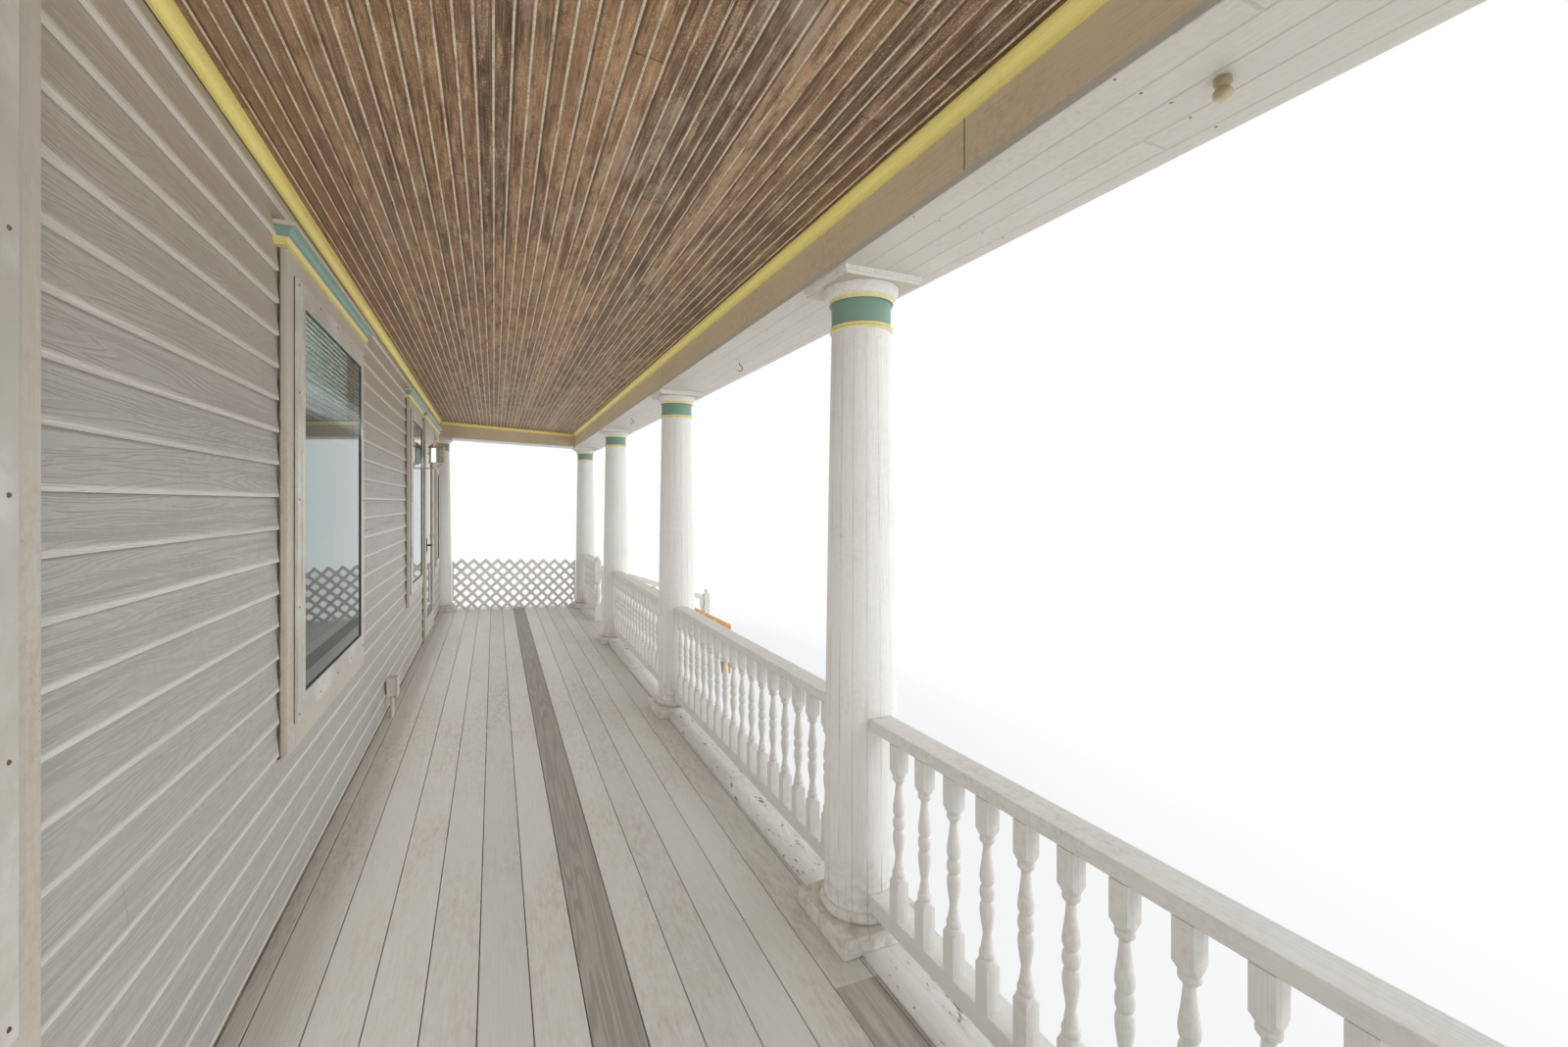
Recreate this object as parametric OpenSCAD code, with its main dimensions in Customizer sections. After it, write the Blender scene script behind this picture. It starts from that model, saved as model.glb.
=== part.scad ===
// A wooden front porch with turned columns, balustrades, steps, a boarded ceiling
// and the slice of house wall that it stands against, in millimetres.
// X runs along the porch, +Y points towards the house and +Z is up.

/* [Overall] */
// Number of bays between the columns
bay_count = 4; // [2:1:6]
// Length of one bay, column to column
bay_l = 2540; // [2000:10:3100]
// From the face of the siding to the line of the columns
wall_to_column = 1867; // [1500:1:2600]
// Height of the floor at the column line, above the ground
floor_h = 548; // [350:1:800]
// How far the floor drops from the wall to the column line
floor_fall = 75; // [0:1:90]
// Height of the columns, from the floor to the underside of the beam
column_h = 2308; // [2100:1:2800]
// How far the ceiling rises from the beam to the wall
ceiling_rise = 97; // [0:1:200]

/* [Floor] */
// Width of one floor board
board_w = 140; // [90:1:190]
// Gap between two floor boards
board_gap = 3; // [2:0.5:8]
// Thickness of a floor board
board_t = 25; // [18:1:40]
// Width of the ripped board beside the wall
first_board_w = 38; // [25:1:120]
// Floor beyond the column line
floor_overhang = 175; // [165:5:300]
// Which board, counted from the wall, was replaced
replaced_board = 7; // [2:1:10]
// Depth of a floor joist
joist_h = 185; // [120:5:240]
// Thickness of a floor joist
joist_t = 38; // [30:1:60]
// Spacing of the floor joists
joist_pitch = 610; // [400:10:800]
// Side of a square pier
pier_w = 300; // [200:10:400]
// Thickness of the skirt boards
skirt_t = 22; // [16:1:40]
// Width of the edge plank between the plinths
curb_w = 190; // [150:5:220]
// Thickness of the edge plank
curb_t = 10; // [8:1:30]
// Thickness of the shorter plank laid over it
curb_top_t = 22; // [15:1:40]

/* [Columns] */
// Side of the square plinth
plinth_w = 344; // [310:1:390]
// Height of the plinth at the column's centre line
plinth_h = 68; // [50:1:140]
// Height of the rounded base ring
torus_h = 42; // [30:1:70]
// Radius of the shaft at its foot
shaft_r_bottom = 134; // [100:1:140]
// Radius of the shaft under the neck
shaft_r_top = 107; // [80:1:120]
// Side of the top slab of the capital
abacus_w = 310; // [280:1:360]
// Height of the two layers of the top slab
abacus_h = 28; // [24:1:50]
// Height of the rounded bowl under the slab
echinus_h = 38; // [25:1:60]
// Height of the fillet under the bowl
fillet_h = 15; // [8:1:25]
// Height of the plain neck
neck_h = 81; // [50:1:120]
// Height of the ring under the neck
astragal_h = 22; // [12:1:30]

/* [Beam and roof] */
// Width of the boxed beam
beam_w = 380; // [320:2:440]
// Height of the inner face of the beam, up to the ceiling
beam_inner_h = 182; // [120:2:260]
// Height of the outer face of the beam
beam_outer_h = 270; // [220:5:360]
// Thickness of the boards that box the beam
beam_board_t = 20; // [16:1:30]
// Thickness of the ceiling boards
ceiling_t = 14; // [10:1:20]
// Height of the moulding round the ceiling
moulding_h = 34; // [20:1:60]
// Pitch of the roof in degrees
roof_pitch = 14; // [10:1:20]
// Roof beyond the outer face of the beam
eave_l = 220; // [150:10:450]
// Roof beyond the end beams
verge_l = 200; // [120:10:300]
// Thickness of the roof boards
roof_t = 40; // [25:1:60]

/* [Balustrade] */
// Height of the handrail's top above the floor
rail_h = 772; // [650:1:1000]
// Width of the rails
rail_w = 90; // [60:1:120]
// Thickness of the rails
rail_t = 40; // [30:1:60]
// Height of the bottom rail's top above the floor
bottom_rail_h = 173; // [150:1:260]
// Thickness of the bottom rail
bottom_rail_t = 59; // [40:1:80]
// Side of a baluster's square blocks
baluster_w = 43; // [36:1:56]
// Spacing of the balusters
baluster_pitch = 133.4; // [100:0.2:180]

/* [Steps] */
// Number of treads
tread_count = 3; // [2:1:4]
// Going of one tread
tread_going = 400; // [280:5:450]
// Thickness of a tread
tread_t = 35; // [25:1:50]
// Clear width of the way on to the porch
step_clear_w = 1138; // [900:1:1300]
// Side of a newel post
newel_w = 74; // [66:1:110]
// Height of a newel post, with its ball
newel_h = 842; // [780:1:1100]

/* [House wall] */
// Space for the siding boards in front of the wall
siding_t = 14; // [10:1:25]
// Thickness of the wall behind the siding
wall_t = 150; // [100:5:250]
// Width of the casing boards
casing_w = 88; // [80:1:140]
// How far a casing stands in front of the siding
casing_proud = 20; // [12:1:40]
// Bottom of the window casings above the floor at the wall
window_sill_h = 576; // [450:2:900]
// Top of the window casings above the floor at the wall
window_head_h = 2300; // [2000:5:2400]
// Width of the storm window frames
storm_w = 88; // [50:1:100]
// How much of a casing shows beside its storm frame
casing_show = 74; // [40:1:80]
// Height of the moulded cap over an opening
cap_h = 70; // [50:1:140]
// Clear width of the doorway
door_w = 860; // [760:5:1000]
// Thickness of the storm door
door_t = 32; // [25:1:45]
// Width of the storm door's side rails
door_stile_w = 95; // [70:1:140]
// Running gap round the storm door
door_gap = 5; // [4:0.5:8]

/* [Lattice] */
// Height of the lattice panels
lattice_h = 687; // [500:1:900]
// Width of one slat
slat_w = 38; // [25:1:50]
// Thickness of one slat
slat_t = 8; // [6:1:12]
// Spacing of the slats
slat_pitch = 105; // [80:1:140]

/* [Hidden] */
$fn = 48;
porch_l = bay_count * bay_l;
column_line = -wall_to_column;
fall_angle = atan(floor_fall / wall_to_column);
floor_edge = column_line - floor_overhang;
floor_wall_z = floor_h + floor_fall;
soffit_z = floor_h + column_h;
beam_inner = column_line + 166;
beam_outer = beam_inner - beam_w;
end_beam_in = porch_l / 2 - 165;
end_beam_out = end_beam_in + beam_w;
floor_end = porch_l / 2 + floor_overhang;
ceiling_beam_z = soffit_z + beam_inner_h;
rise_angle = atan(ceiling_rise / -beam_inner);
roof_y = beam_outer - eave_l;
roof_x = end_beam_out + verge_l;
roof_low_z = soffit_z + beam_outer_h;
roof_wall_z = roof_low_z - beam_outer * tan(roof_pitch);
wall_top_z = roof_wall_z + 160;
wall_face = siding_t;
wall_back = siding_t + wall_t;
seam = 1;
sill_z = floor_wall_z + window_sill_h;
head_z = floor_wall_z + window_head_h;
casing_lap = 30;
cap_seam = 0.5;
panel_seam = 0.2;
slope_seam = 0.02;
foundation_z = floor_wall_z - joist_h - board_t;
lower_newel_y = column_line - 1460;
box_back = wall_back;
box_front = lower_newel_y - newel_w / 2;
mid_y = (box_back + box_front) / 2;
rail_z = floor_h + rail_h;
low_rail_z = floor_h + bottom_rail_h;
baluster_h = rail_h - rail_t - bottom_rail_h;
entry_bay = bay_count - 1;
entry_x = column_x(entry_bay) + shaft_r_bottom + 12;
newel_x = entry_x + step_clear_w + newel_w / 2;
rail_slope = 0.342;
timber_x = entry_x + 20;
timber_w = 89;
timber_h = 140;

storm_y = -casing_proud - 11;
storm_sill_z = sill_z + casing_w + 4;

// Openings in the wall: centre and outside width of each casing
windows = [[-3822, 1377], [-1173.5, 1377], [2005, 1050], [4245, 560]];
door_x = 3330;
door_casing_w = door_w + 2 * casing_w - 30;
door_left = door_x - door_w / 2;
door_right = door_x + door_w / 2;
door_head_z = floor_wall_z + 2070;
threshold_h = 35;

white = [0.85, 0.83, 0.79];
floor_paint = [0.75, 0.71, 0.66];
weathered = [0.5, 0.47, 0.43];
yellow = [0.85, 0.79, 0.42];
green = [0.45, 0.6, 0.5];
brown = [0.45, 0.3, 0.2];
raw_wood = [0.85, 0.68, 0.4];

// Centre of a column along the porch
function column_x(i) = (i - bay_count / 2) * bay_l;

// Height of the floor's top at a distance from the wall
function floor_z(y) = floor_wall_z + y * tan(fall_angle);

// Height of the ceiling's underside at a distance from the wall
function ceiling_z(y) = ceiling_beam_z + (y - beam_inner) * tan(rise_angle);

// Moves a piece from the wall's own place to the middle of the whole
module place() {
    translate([0, -mid_y, 0]) children();
}

// A box between two corners
module block(a, b) {
    translate(a) cube(b - a);
}

// An outline in Y and Z, run along X between two places
module run_x(x0, x1, outline) {
    translate([x0, 0, 0])
        rotate([90, 0, 90])
            linear_extrude(x1 - x0) polygon(outline);
}

// Everything above the sloping floor, for cutting the feet of posts
module above_floor(x, reach) {
    run_x(x - reach, x + reach, [
        [40, floor_z(40) + slope_seam],
        [floor_edge - 400, floor_z(floor_edge - 400) + slope_seam],
        [floor_edge - 400, floor_h + 4000],
        [40, floor_h + 4000]
    ]);
}

/* House wall */
module foundation_wall() {
    color([0.6, 0.58, 0.55])
        block([-roof_x, wall_face, 0], [roof_x, wall_back, foundation_z]);
}

module lower_walls() {
    color(white) {
        block([-roof_x, wall_face, foundation_z], [door_left - casing_lap, wall_back, sill_z + casing_lap]);
        block([door_right + casing_lap, wall_face, foundation_z], [roof_x, wall_back, sill_z + casing_lap]);
    }
}

// Edges of the wall between the openings, from one end to the other
function pier_edges() = concat(
    [-roof_x],
    [for (w = [windows[0], windows[1], windows[2]]) each [
        w[0] - w[1] / 2 + casing_lap, w[0] + w[1] / 2 - casing_lap]],
    [door_left - casing_lap, door_right + casing_lap],
    [windows[3][0] - windows[3][1] / 2 + casing_lap, windows[3][0] + windows[3][1] / 2 - casing_lap],
    [roof_x]
);

module wall_piers() {
    edges = pier_edges();
    color(white)
        for (i = [0:2:len(edges) - 1])
            block([edges[i], wall_face, sill_z + casing_lap],
                  [edges[i + 1], wall_back, head_z - casing_lap]);
}

module upper_wall() {
    color(white)
        block([-roof_x, wall_face, head_z - casing_lap], [roof_x, wall_back, wall_top_z]);
}

/* Floor */
module porch_piers() {
    color([0.55, 0.53, 0.5])
        for (i = [0:bay_count])
            block([column_x(i) - pier_w / 2, column_line - pier_w / 2, 0],
                  [column_x(i) + pier_w / 2, column_line + pier_w / 2,
                   floor_z(column_line - pier_w / 2) - board_t - joist_h]);
}

joists_per_bay = round(bay_l / joist_pitch);

// Joists run from the wall to the front skirt, their tops on the slope of the floor
module floor_joists() {
    front = floor_edge + skirt_t;
    color(weathered)
        for (i = [0:bay_count * joists_per_bay]) {
            x = column_x(0) + i * bay_l / joists_per_bay;
            run_x(x - joist_t / 2, x + joist_t / 2, [
                [wall_face, floor_z(wall_face) - board_t - slope_seam],
                [front, floor_z(front) - board_t - slope_seam],
                [front, floor_z(front) - board_t - joist_h],
                [wall_face, floor_z(wall_face) - board_t - joist_h]
            ]);
        }
}

module skirt_boards() {
    front = floor_edge + skirt_t;
    color(white) {
        run_x(-floor_end, floor_end, [
            [floor_edge, 0], [front, 0],
            [front, floor_z(front) - board_t - slope_seam],
            [floor_edge, floor_z(floor_edge) - board_t - slope_seam]
        ]);
        for (side = [-1, 1])
            run_x(side > 0 ? floor_end - skirt_t : -floor_end,
                  side > 0 ? floor_end : skirt_t - floor_end, [
                [front + seam, 0], [wall_face, 0],
                [wall_face, floor_z(wall_face) - board_t - slope_seam],
                [front + seam, floor_z(front + seam) - board_t - slope_seam]
            ]);
    }
}

board_pitch = board_w + board_gap;
board_n = ceil((-floor_edge - first_board_w) / board_pitch);

// Outer and inner edge of a floor board; board 0 is the ripped one beside the wall
function board_back(i) = i == 0 ? wall_face : -first_board_w - board_gap - (i - 1) * board_pitch;
function board_front(i) = max(i == 0 ? -first_board_w : board_back(i) - board_w, floor_edge);

module floor_board(i) {
    run_x(-floor_end, floor_end, [
        [board_back(i), floor_z(board_back(i)) - board_t],
        [board_front(i), floor_z(board_front(i)) - board_t],
        [board_front(i), floor_z(board_front(i))],
        [board_back(i), floor_z(board_back(i))]
    ]);
}

module floor_boards() {
    color(floor_paint)
        for (i = [0:board_n])
            if (i != replaced_board && board_back(i) - floor_edge > 10) floor_board(i);
}

module replaced_floor_board() {
    color(weathered) floor_board(replaced_board);
}

// Edge planks lie on the floor between the plinths, under the balustrade
curb_y = column_line + 100;
module curb_plank(x0, x1, t, lift) {
    run_x(x0, x1, [
        [curb_y, floor_z(curb_y) + lift],
        [curb_y - curb_w, floor_z(curb_y - curb_w) + lift],
        [curb_y - curb_w, floor_z(curb_y - curb_w) + lift + t],
        [curb_y, floor_z(curb_y) + lift + t]
    ]);
}

module curb_planks() {
    color(white)
        for (i = [0:bay_count - 2]) {
            x0 = column_x(i) + plinth_w / 2;
            x1 = column_x(i + 1) - plinth_w / 2;
            curb_plank(x0, x1, curb_t, slope_seam);
            if (i > 0) curb_plank((x0 + x1) / 2, x1, curb_top_t, curb_t + 2 * slope_seam);
        }
}

/* Columns */
// The whole columns, then the half columns against the wall at both ends
module at_columns() {
    for (i = [0:bay_count])
        translate([column_x(i), column_line, 0]) children();
}

module at_wall_columns() {
    intersection() {
        for (i = [0, bay_count])
            translate([column_x(i), 0, 0]) children();
        block([-roof_x, column_line / 2, 0], [roof_x, wall_face, wall_top_z]);
    }
}

module column_plinths() {
    color(white) {
        intersection() {
            at_columns() translate([-plinth_w / 2, -plinth_w / 2, floor_h - 100])
                cube([plinth_w, plinth_w, plinth_h + 100]);
            above_floor(0, roof_x);
        }
        intersection() {
            at_wall_columns() translate([-plinth_w / 2, -plinth_w / 2, floor_h - 100])
                cube([plinth_w, plinth_w, plinth_h + floor_fall + 100]);
            above_floor(0, roof_x);
        }
    }
}

// A rounded moulding's outline, from its foot at height z up to z + h
function roll(r, z, h, out) = [for (a = [-90:18:90]) [r + out * cos(a), z + h / 2 + h / 2 * sin(a)]];

module base_ring(z) {
    r = shaft_r_bottom;
    translate([0, 0, z])
        rotate_extrude($fn = 64)
            polygon(concat([[0, 0]], roll(r, 0, torus_h - 4, 14), [[r, torus_h], [0, torus_h]]));
}

module column_bases() {
    color(white) {
        at_columns() base_ring(floor_h + plinth_h);
        at_wall_columns() base_ring(floor_h + floor_fall + plinth_h);
    }
}

shaft_z = plinth_h + torus_h;
capital_h = abacus_h + echinus_h + fillet_h + neck_h + astragal_h;
shaft_h = column_h - shaft_z - capital_h;
shaft_steps = 12;

// The shaft swells a little, so that it narrows faster near its top
function shaft_r(t) = shaft_r_bottom - (shaft_r_bottom - shaft_r_top) * pow(t, 1.5);

module shaft(h) {
    rotate_extrude($fn = 64)
        polygon(concat(
            [[0, 0]],
            [for (i = [0:shaft_steps]) [shaft_r(i / shaft_steps), h * i / shaft_steps]],
            [[0, h]]
        ));
}

module column_shafts() {
    color(white) {
        at_columns() translate([0, 0, floor_h + shaft_z]) shaft(shaft_h);
        at_wall_columns() translate([0, 0, floor_wall_z + shaft_z]) shaft(shaft_h);
    }
}

// Ring, neck, fillet and bowl are turned, and the two slabs on top are square
module capital() {
    r = shaft_r_top;
    ring = astragal_h / 2;
    z_fillet = astragal_h + neck_h;
    z_bowl = z_fillet + fillet_h;
    z_slab = z_bowl + echinus_h;
    rotate_extrude($fn = 64)
        polygon(concat(
            [[0, 0]],
            roll(r, 0, ring, ring * 0.6),
            roll(r, ring, ring, ring * 0.6),
            [[r, astragal_h + 1], [r, z_fillet], [r + 9, z_fillet], [r + 9, z_bowl]],
            [for (a = [0:15:90]) [r + 9 + 19 * sin(a), z_bowl + echinus_h * (1 - cos(a))]],
            [[0, z_slab]]
        ));
    low_w = abacus_w - 16;
    low_h = abacus_h * 0.4;
    translate([-low_w / 2, -low_w / 2, z_slab]) cube([low_w, low_w, low_h]);
    translate([-abacus_w / 2, -abacus_w / 2, z_slab + low_h])
        cube([abacus_w, abacus_w, abacus_h - low_h]);
}

module column_capitals() {
    color(green) {
        at_columns() translate([0, 0, soffit_z - capital_h]) capital();
        intersection() {
            at_wall_columns() translate([0, 0, soffit_z + floor_fall - capital_h]) capital();
            run_x(-roof_x, roof_x, [
                [wall_face, floor_h], [column_line, floor_h],
                [column_line, end_soffit_z(column_line)], [wall_face, end_soffit_z(wall_face)]
            ]);
        }
    }
}

/* Beam, ceiling and roof */
// The end beams keep the slope of the floor, from the wall down to the front beam
function end_soffit_z(y) = soffit_z + floor_fall + y * tan(fall_angle);

module at_ends() {
    for (side = [0, 1]) mirror([side, 0, 0]) children();
}

module beam_soffits() {
    lip = beam_board_t;
    color(white) {
        block([-end_beam_out, beam_outer, soffit_z], [end_beam_out, beam_inner, soffit_z + lip]);
        at_ends() run_x(end_beam_in, end_beam_out, [
            [beam_inner + seam, end_soffit_z(beam_inner + seam)],
            [wall_face, end_soffit_z(wall_face)],
            [wall_face, end_soffit_z(wall_face) + lip],
            [beam_inner + seam, end_soffit_z(beam_inner + seam) + lip]
        ]);
    }
}

module beam_inner_boards() {
    lip = beam_board_t;
    color(white) {
        run_x(-end_beam_in - lip, end_beam_in + lip, [
            [beam_inner - lip, soffit_z + lip], [beam_inner, soffit_z + lip],
            [beam_inner, ceiling_beam_z - slope_seam],
            [beam_inner - lip, ceiling_z(beam_inner - lip) - slope_seam]
        ]);
        at_ends() run_x(end_beam_in, end_beam_in + lip, [
            [beam_inner + seam, end_soffit_z(beam_inner + seam) + lip],
            [wall_face, end_soffit_z(wall_face) + lip],
            [wall_face, ceiling_z(wall_face) - slope_seam],
            [beam_inner + seam, ceiling_z(beam_inner + seam) - slope_seam]
        ]);
    }
}

module beam_outer_boards() {
    lip = beam_board_t;
    color(white) {
        block([-end_beam_out, beam_outer, soffit_z + lip],
              [end_beam_out, beam_outer + lip, roof_low_z - 2 * lip]);
        at_ends() run_x(end_beam_out - lip, end_beam_out, [
            [beam_inner + seam, end_soffit_z(beam_inner + seam) + lip],
            [wall_face, end_soffit_z(wall_face) + lip],
            [wall_face, end_soffit_z(wall_face) + beam_outer_h - 2 * lip],
            [beam_inner + seam, end_soffit_z(beam_inner + seam) + beam_outer_h - 2 * lip]
        ]);
    }
}

module ceiling() {
    back = beam_inner - beam_board_t;
    end = end_beam_in + beam_board_t;
    color(brown)
        run_x(-end, end, [
            [wall_face, ceiling_z(wall_face)],
            [back, ceiling_z(back)],
            [back, ceiling_z(back) + ceiling_t],
            [wall_face, ceiling_z(wall_face) + ceiling_t]
        ]);
}

// A quarter-round hollow between two small steps, against a wall and a ceiling
function cove(h) = concat(
    [[0, 0], [0, -h], [h * 0.22, -h]],
    [for (a = [0:15:90]) [h * (0.22 + 0.6 * (1 - cos(a))), -h * (0.82 - 0.6 * sin(a))]],
    [[h, -h * 0.22], [h, 0]]
);

module ceiling_mouldings() {
    h = moulding_h;
    inner = end_beam_in - h - seam;
    color(yellow) {
        translate([0, beam_inner, ceiling_z(beam_inner)])
            run_x(-end_beam_in, end_beam_in, cove(h));
        translate([0, 0, ceiling_z(-h)])
            mirror([0, 1, 0]) run_x(-end_beam_in, end_beam_in, cove(h));
        at_ends() translate([end_beam_in, 0, 0])
            run_end_moulding(h);
    }
}

// An end moulding climbs with the ceiling, from the front moulding to the wall one
module run_end_moulding(h) {
    y0 = beam_inner + h + seam;
    y1 = -h - seam;
    translate([0, y0, ceiling_z(y0) - slope_seam])
        rotate([rise_angle, 0, 0])
            rotate([90, 0, 0])
                mirror([1, 0, 0]) mirror([0, 0, 1])
                    linear_extrude((y1 - y0) / cos(rise_angle) - h * 0.1) polygon(cove(h));
}

module roof_boards() {
    t = roof_t;
    color([0.4, 0.38, 0.36])
        run_x(-roof_x, roof_x, [
            [wall_face, roof_wall_z + wall_face * tan(roof_pitch)],
            [roof_y, roof_low_z - eave_l * tan(roof_pitch)],
            [roof_y, roof_low_z - eave_l * tan(roof_pitch) + t],
            [wall_face, roof_wall_z + wall_face * tan(roof_pitch) + t]
        ]);
}

module eave_board() {
    z = roof_low_z - eave_l * tan(roof_pitch);
    color(white)
        block([-roof_x, roof_y - beam_board_t, z - 60], [roof_x, roof_y, z + roof_t]);
}

// Boards that close each end of the roof over the end beam
module roof_end_panels() {
    lip = beam_board_t;
    color(white)
        at_ends() run_x(end_beam_out - lip, end_beam_out, [
            [beam_outer, roof_low_z - 2 * lip],
            [beam_inner + seam, roof_low_z - 2 * lip],
            [beam_inner + seam, end_soffit_z(beam_inner + seam) + beam_outer_h - 2 * lip],
            [wall_face, end_soffit_z(wall_face) + beam_outer_h - 2 * lip],
            [wall_face, roof_wall_z + wall_face * tan(roof_pitch) - panel_seam],
            [beam_outer, roof_low_z - panel_seam]
        ]);
}

/* Balustrade */
module rail(x0, x1, z, t) {
    block([x0, column_line - rail_w / 2, z - t], [x1, column_line + rail_w / 2, z]);
}

last_rail_x = newel_x + newel_w / 2;

// Rails end a little inside the curve of the round shaft, which is cut to take them
module handrails() {
    color(white)
        difference() {
            union() {
                for (i = [0:bay_count - 2]) rail(column_x(i), column_x(i + 1), rail_z, rail_t);
                rail(last_rail_x, column_x(bay_count), rail_z, rail_t);
            }
            at_columns() cylinder(r = column_r_at(rail_h - rail_t), h = 3000);
        }
}

module bottom_rails() {
    t = bottom_rail_t;
    color(white)
        difference() {
            union() {
                for (i = [0:bay_count - 2]) rail(column_x(i), column_x(i + 1), low_rail_z, t);
                rail(last_rail_x, column_x(bay_count), low_rail_z, t);
            }
            at_columns() cylinder(r = column_r_at(bottom_rail_h - t), h = 3000);
        }
}

// Radius of the shaft at a height above the floor, rounded up to stay clear
function column_r_at(h) = shaft_r((h - shaft_z) / shaft_h) + 0.3;

// The turned part between the two blocks, for a length of 1 and a radius of 1
function turned() = [
    [0.86, 0], [0.98, 0.02], [0.95, 0.068], [0.78, 0.12], [0.56, 0.185], [0.72, 0.27],
    [0.87, 0.34], [0.91, 0.385], [0.86, 0.43], [0.70, 0.466], [0.84, 0.488], [0.90, 0.532],
    [0.84, 0.574], [0.70, 0.596], [0.84, 0.615], [0.92, 0.655], [0.87, 0.705], [0.70, 0.795],
    [0.60, 0.87], [0.56, 0.925], [0.72, 0.952], [0.90, 0.978], [0.90, 1]
];

// A turned post between two square blocks with sloping shoulders
module turned_post(w, h, low_block, high_block) {
    length = h - low_block - high_block;
    shoulder = w * 0.4;
    points = turned();
    rotate_extrude($fn = 24)
        polygon(concat(
            [[0, low_block - shoulder], [w / 2 * 0.86, low_block - shoulder]],
            [for (p = points) [w / 2 * p[0], low_block + length * p[1]]],
            [[w / 2 * 0.86, h - high_block + shoulder], [0, h - high_block + shoulder]]
        ));
    shouldered_block(w, low_block, shoulder);
    translate([0, 0, h]) mirror([0, 0, 1]) shouldered_block(w, high_block, shoulder);
}

// A square block whose top corners are turned off in a cone
module shouldered_block(w, h, shoulder) {
    intersection() {
        translate([-w / 2, -w / 2, 0]) cube([w, w, h]);
        union() {
            cylinder(r = w * 0.75, h = h - shoulder);
            translate([0, 0, h - shoulder])
                cylinder(r1 = w * 0.75, r2 = w * 0.43, h = shoulder);
        }
    }
}

// Balusters stand flush with the inner face of the rails
baluster_y = column_line + (rail_w - baluster_w) / 2;

// Balusters of one bay, centred between the two columns
module balusters(x0, x1) {
    n = floor((x1 - x0 - baluster_w) / baluster_pitch);
    first = (x0 + x1 - n * baluster_pitch) / 2;
    color(white)
        for (i = [0:n])
            translate([first + i * baluster_pitch, baluster_y, low_rail_z])
                turned_post(baluster_w, baluster_h, baluster_h * 0.242, baluster_h * 0.181);
}

module balusters_of_bay(i) {
    edge = shaft_r_bottom + (i == 0 ? 100 : 42);
    balusters(i == entry_bay ? last_rail_x + 30 : column_x(i) + edge, column_x(i + 1) - edge);
}

/* Steps */
riser_h = floor_h / (tread_count + 1);
step_x0 = timber_x + timber_w / 2;
step_x1 = newel_x - newel_w / 2;
stringer_t = 40;
nosing = 25;

// A post with a turned middle and a ball on a small neck
module newel(h) {
    post_h = h - 66;
    turned_post(newel_w, post_h, post_h * 0.28, post_h * 0.36);
    translate([0, 0, post_h]) cylinder(r = newel_w * 0.24, h = 24);
    translate([0, 0, post_h + 39]) sphere(r = newel_w * 0.36);
}

module newel_posts() {
    color(white) {
        intersection() {
            translate([newel_x, column_line, floor_h - 20]) newel(newel_h + 3);
            above_floor(newel_x, 400);
        }
        translate([newel_x, lower_newel_y, 0]) newel(newel_h + 25);
    }
}

// The balustrade of the steps runs from the upper newel down to the lower one
slope_y0 = column_line - newel_w / 2;
slope_y1 = lower_newel_y + newel_w / 2;
slope_rail_z = floor_h + 706;
slope_rail_t = 62;
slope_low_h = 585;
slope_low_t = 45;

// A band of the balustrade, between two depths below the top of its rail
module slope_band(w, top, bottom) {
    drop = (slope_y1 - slope_y0) * rail_slope;
    run_x(newel_x - w / 2, newel_x + w / 2, [
        [slope_y0, slope_rail_z - top], [slope_y1, slope_rail_z + drop - top],
        [slope_y1, slope_rail_z + drop - bottom], [slope_y0, slope_rail_z - bottom]
    ]);
}

// Sloping handrail, the rail below it, and the turned balusters between them
module step_handrail() {
    n = floor((slope_y0 - slope_y1 - baluster_w) / baluster_pitch);
    first = (slope_y0 + slope_y1 + n * baluster_pitch) / 2;
    length = slope_low_h - slope_rail_t + 40;
    color(white) {
        slope_band(44, 0, slope_rail_t);
        slope_band(44, slope_low_h, slope_low_h + slope_low_t);
        intersection() {
            for (i = [0:n]) {
                y = first - i * baluster_pitch;
                translate([newel_x, y, slope_rail_z + (y - slope_y0) * rail_slope - slope_low_h - 20])
                    turned_post(baluster_w, length, length * 0.26, length * 0.2);
            }
            slope_band(60, slope_rail_t, slope_low_h);
        }
    }
}

// The newer rail of bare timber on the near side of the steps, with its two posts
module timber_rail() {
    y0 = column_line - 180;
    y1 = column_line - 1388;
    z0 = floor_h + 682;
    z1 = floor_h + 39;
    k = (z0 - z1) / (y0 - y1);
    // posts are let into the underside of the rail
    post_w = timber_w - 6;
    let_in = 30;
    color(raw_wood) {
        run_x(timber_x - timber_w / 2, timber_x + timber_w / 2, [
            [y0, z0], [y1, z1], [y1, z1 - timber_h], [y0, z0 - timber_h]
        ]);
        block([timber_x - post_w / 2, y1 + 4, 0],
              [timber_x + post_w / 2, y1 + 4 + post_w, z1 - timber_h + k * post_w / 2 + let_in]);
        block([timber_x - post_w / 2, floor_edge - post_w, 0],
              [timber_x + post_w / 2, floor_edge,
               z0 - timber_h + k * (floor_edge - post_w / 2 - y0) + let_in]);
    }
}

// Front of a tread, counted from the top one
function tread_front(i) = floor_edge - tread_going * i;

module step_stringers() {
    color(white)
        for (x = [step_x0, (step_x0 + step_x1) / 2, step_x1 - stringer_t])
            for (i = [1:tread_count])
                block([x, tread_front(i) + skirt_t, 0],
                      [x + stringer_t, tread_front(i - 1), floor_edge_z - riser_h * i - tread_t]);
}

floor_edge_z = floor_z(floor_edge);

module step_risers() {
    color(white)
        for (i = [1:tread_count])
            block([step_x0, tread_front(i), 0],
                  [step_x1, tread_front(i) + skirt_t, floor_edge_z - riser_h * i - tread_t]);
}

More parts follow.
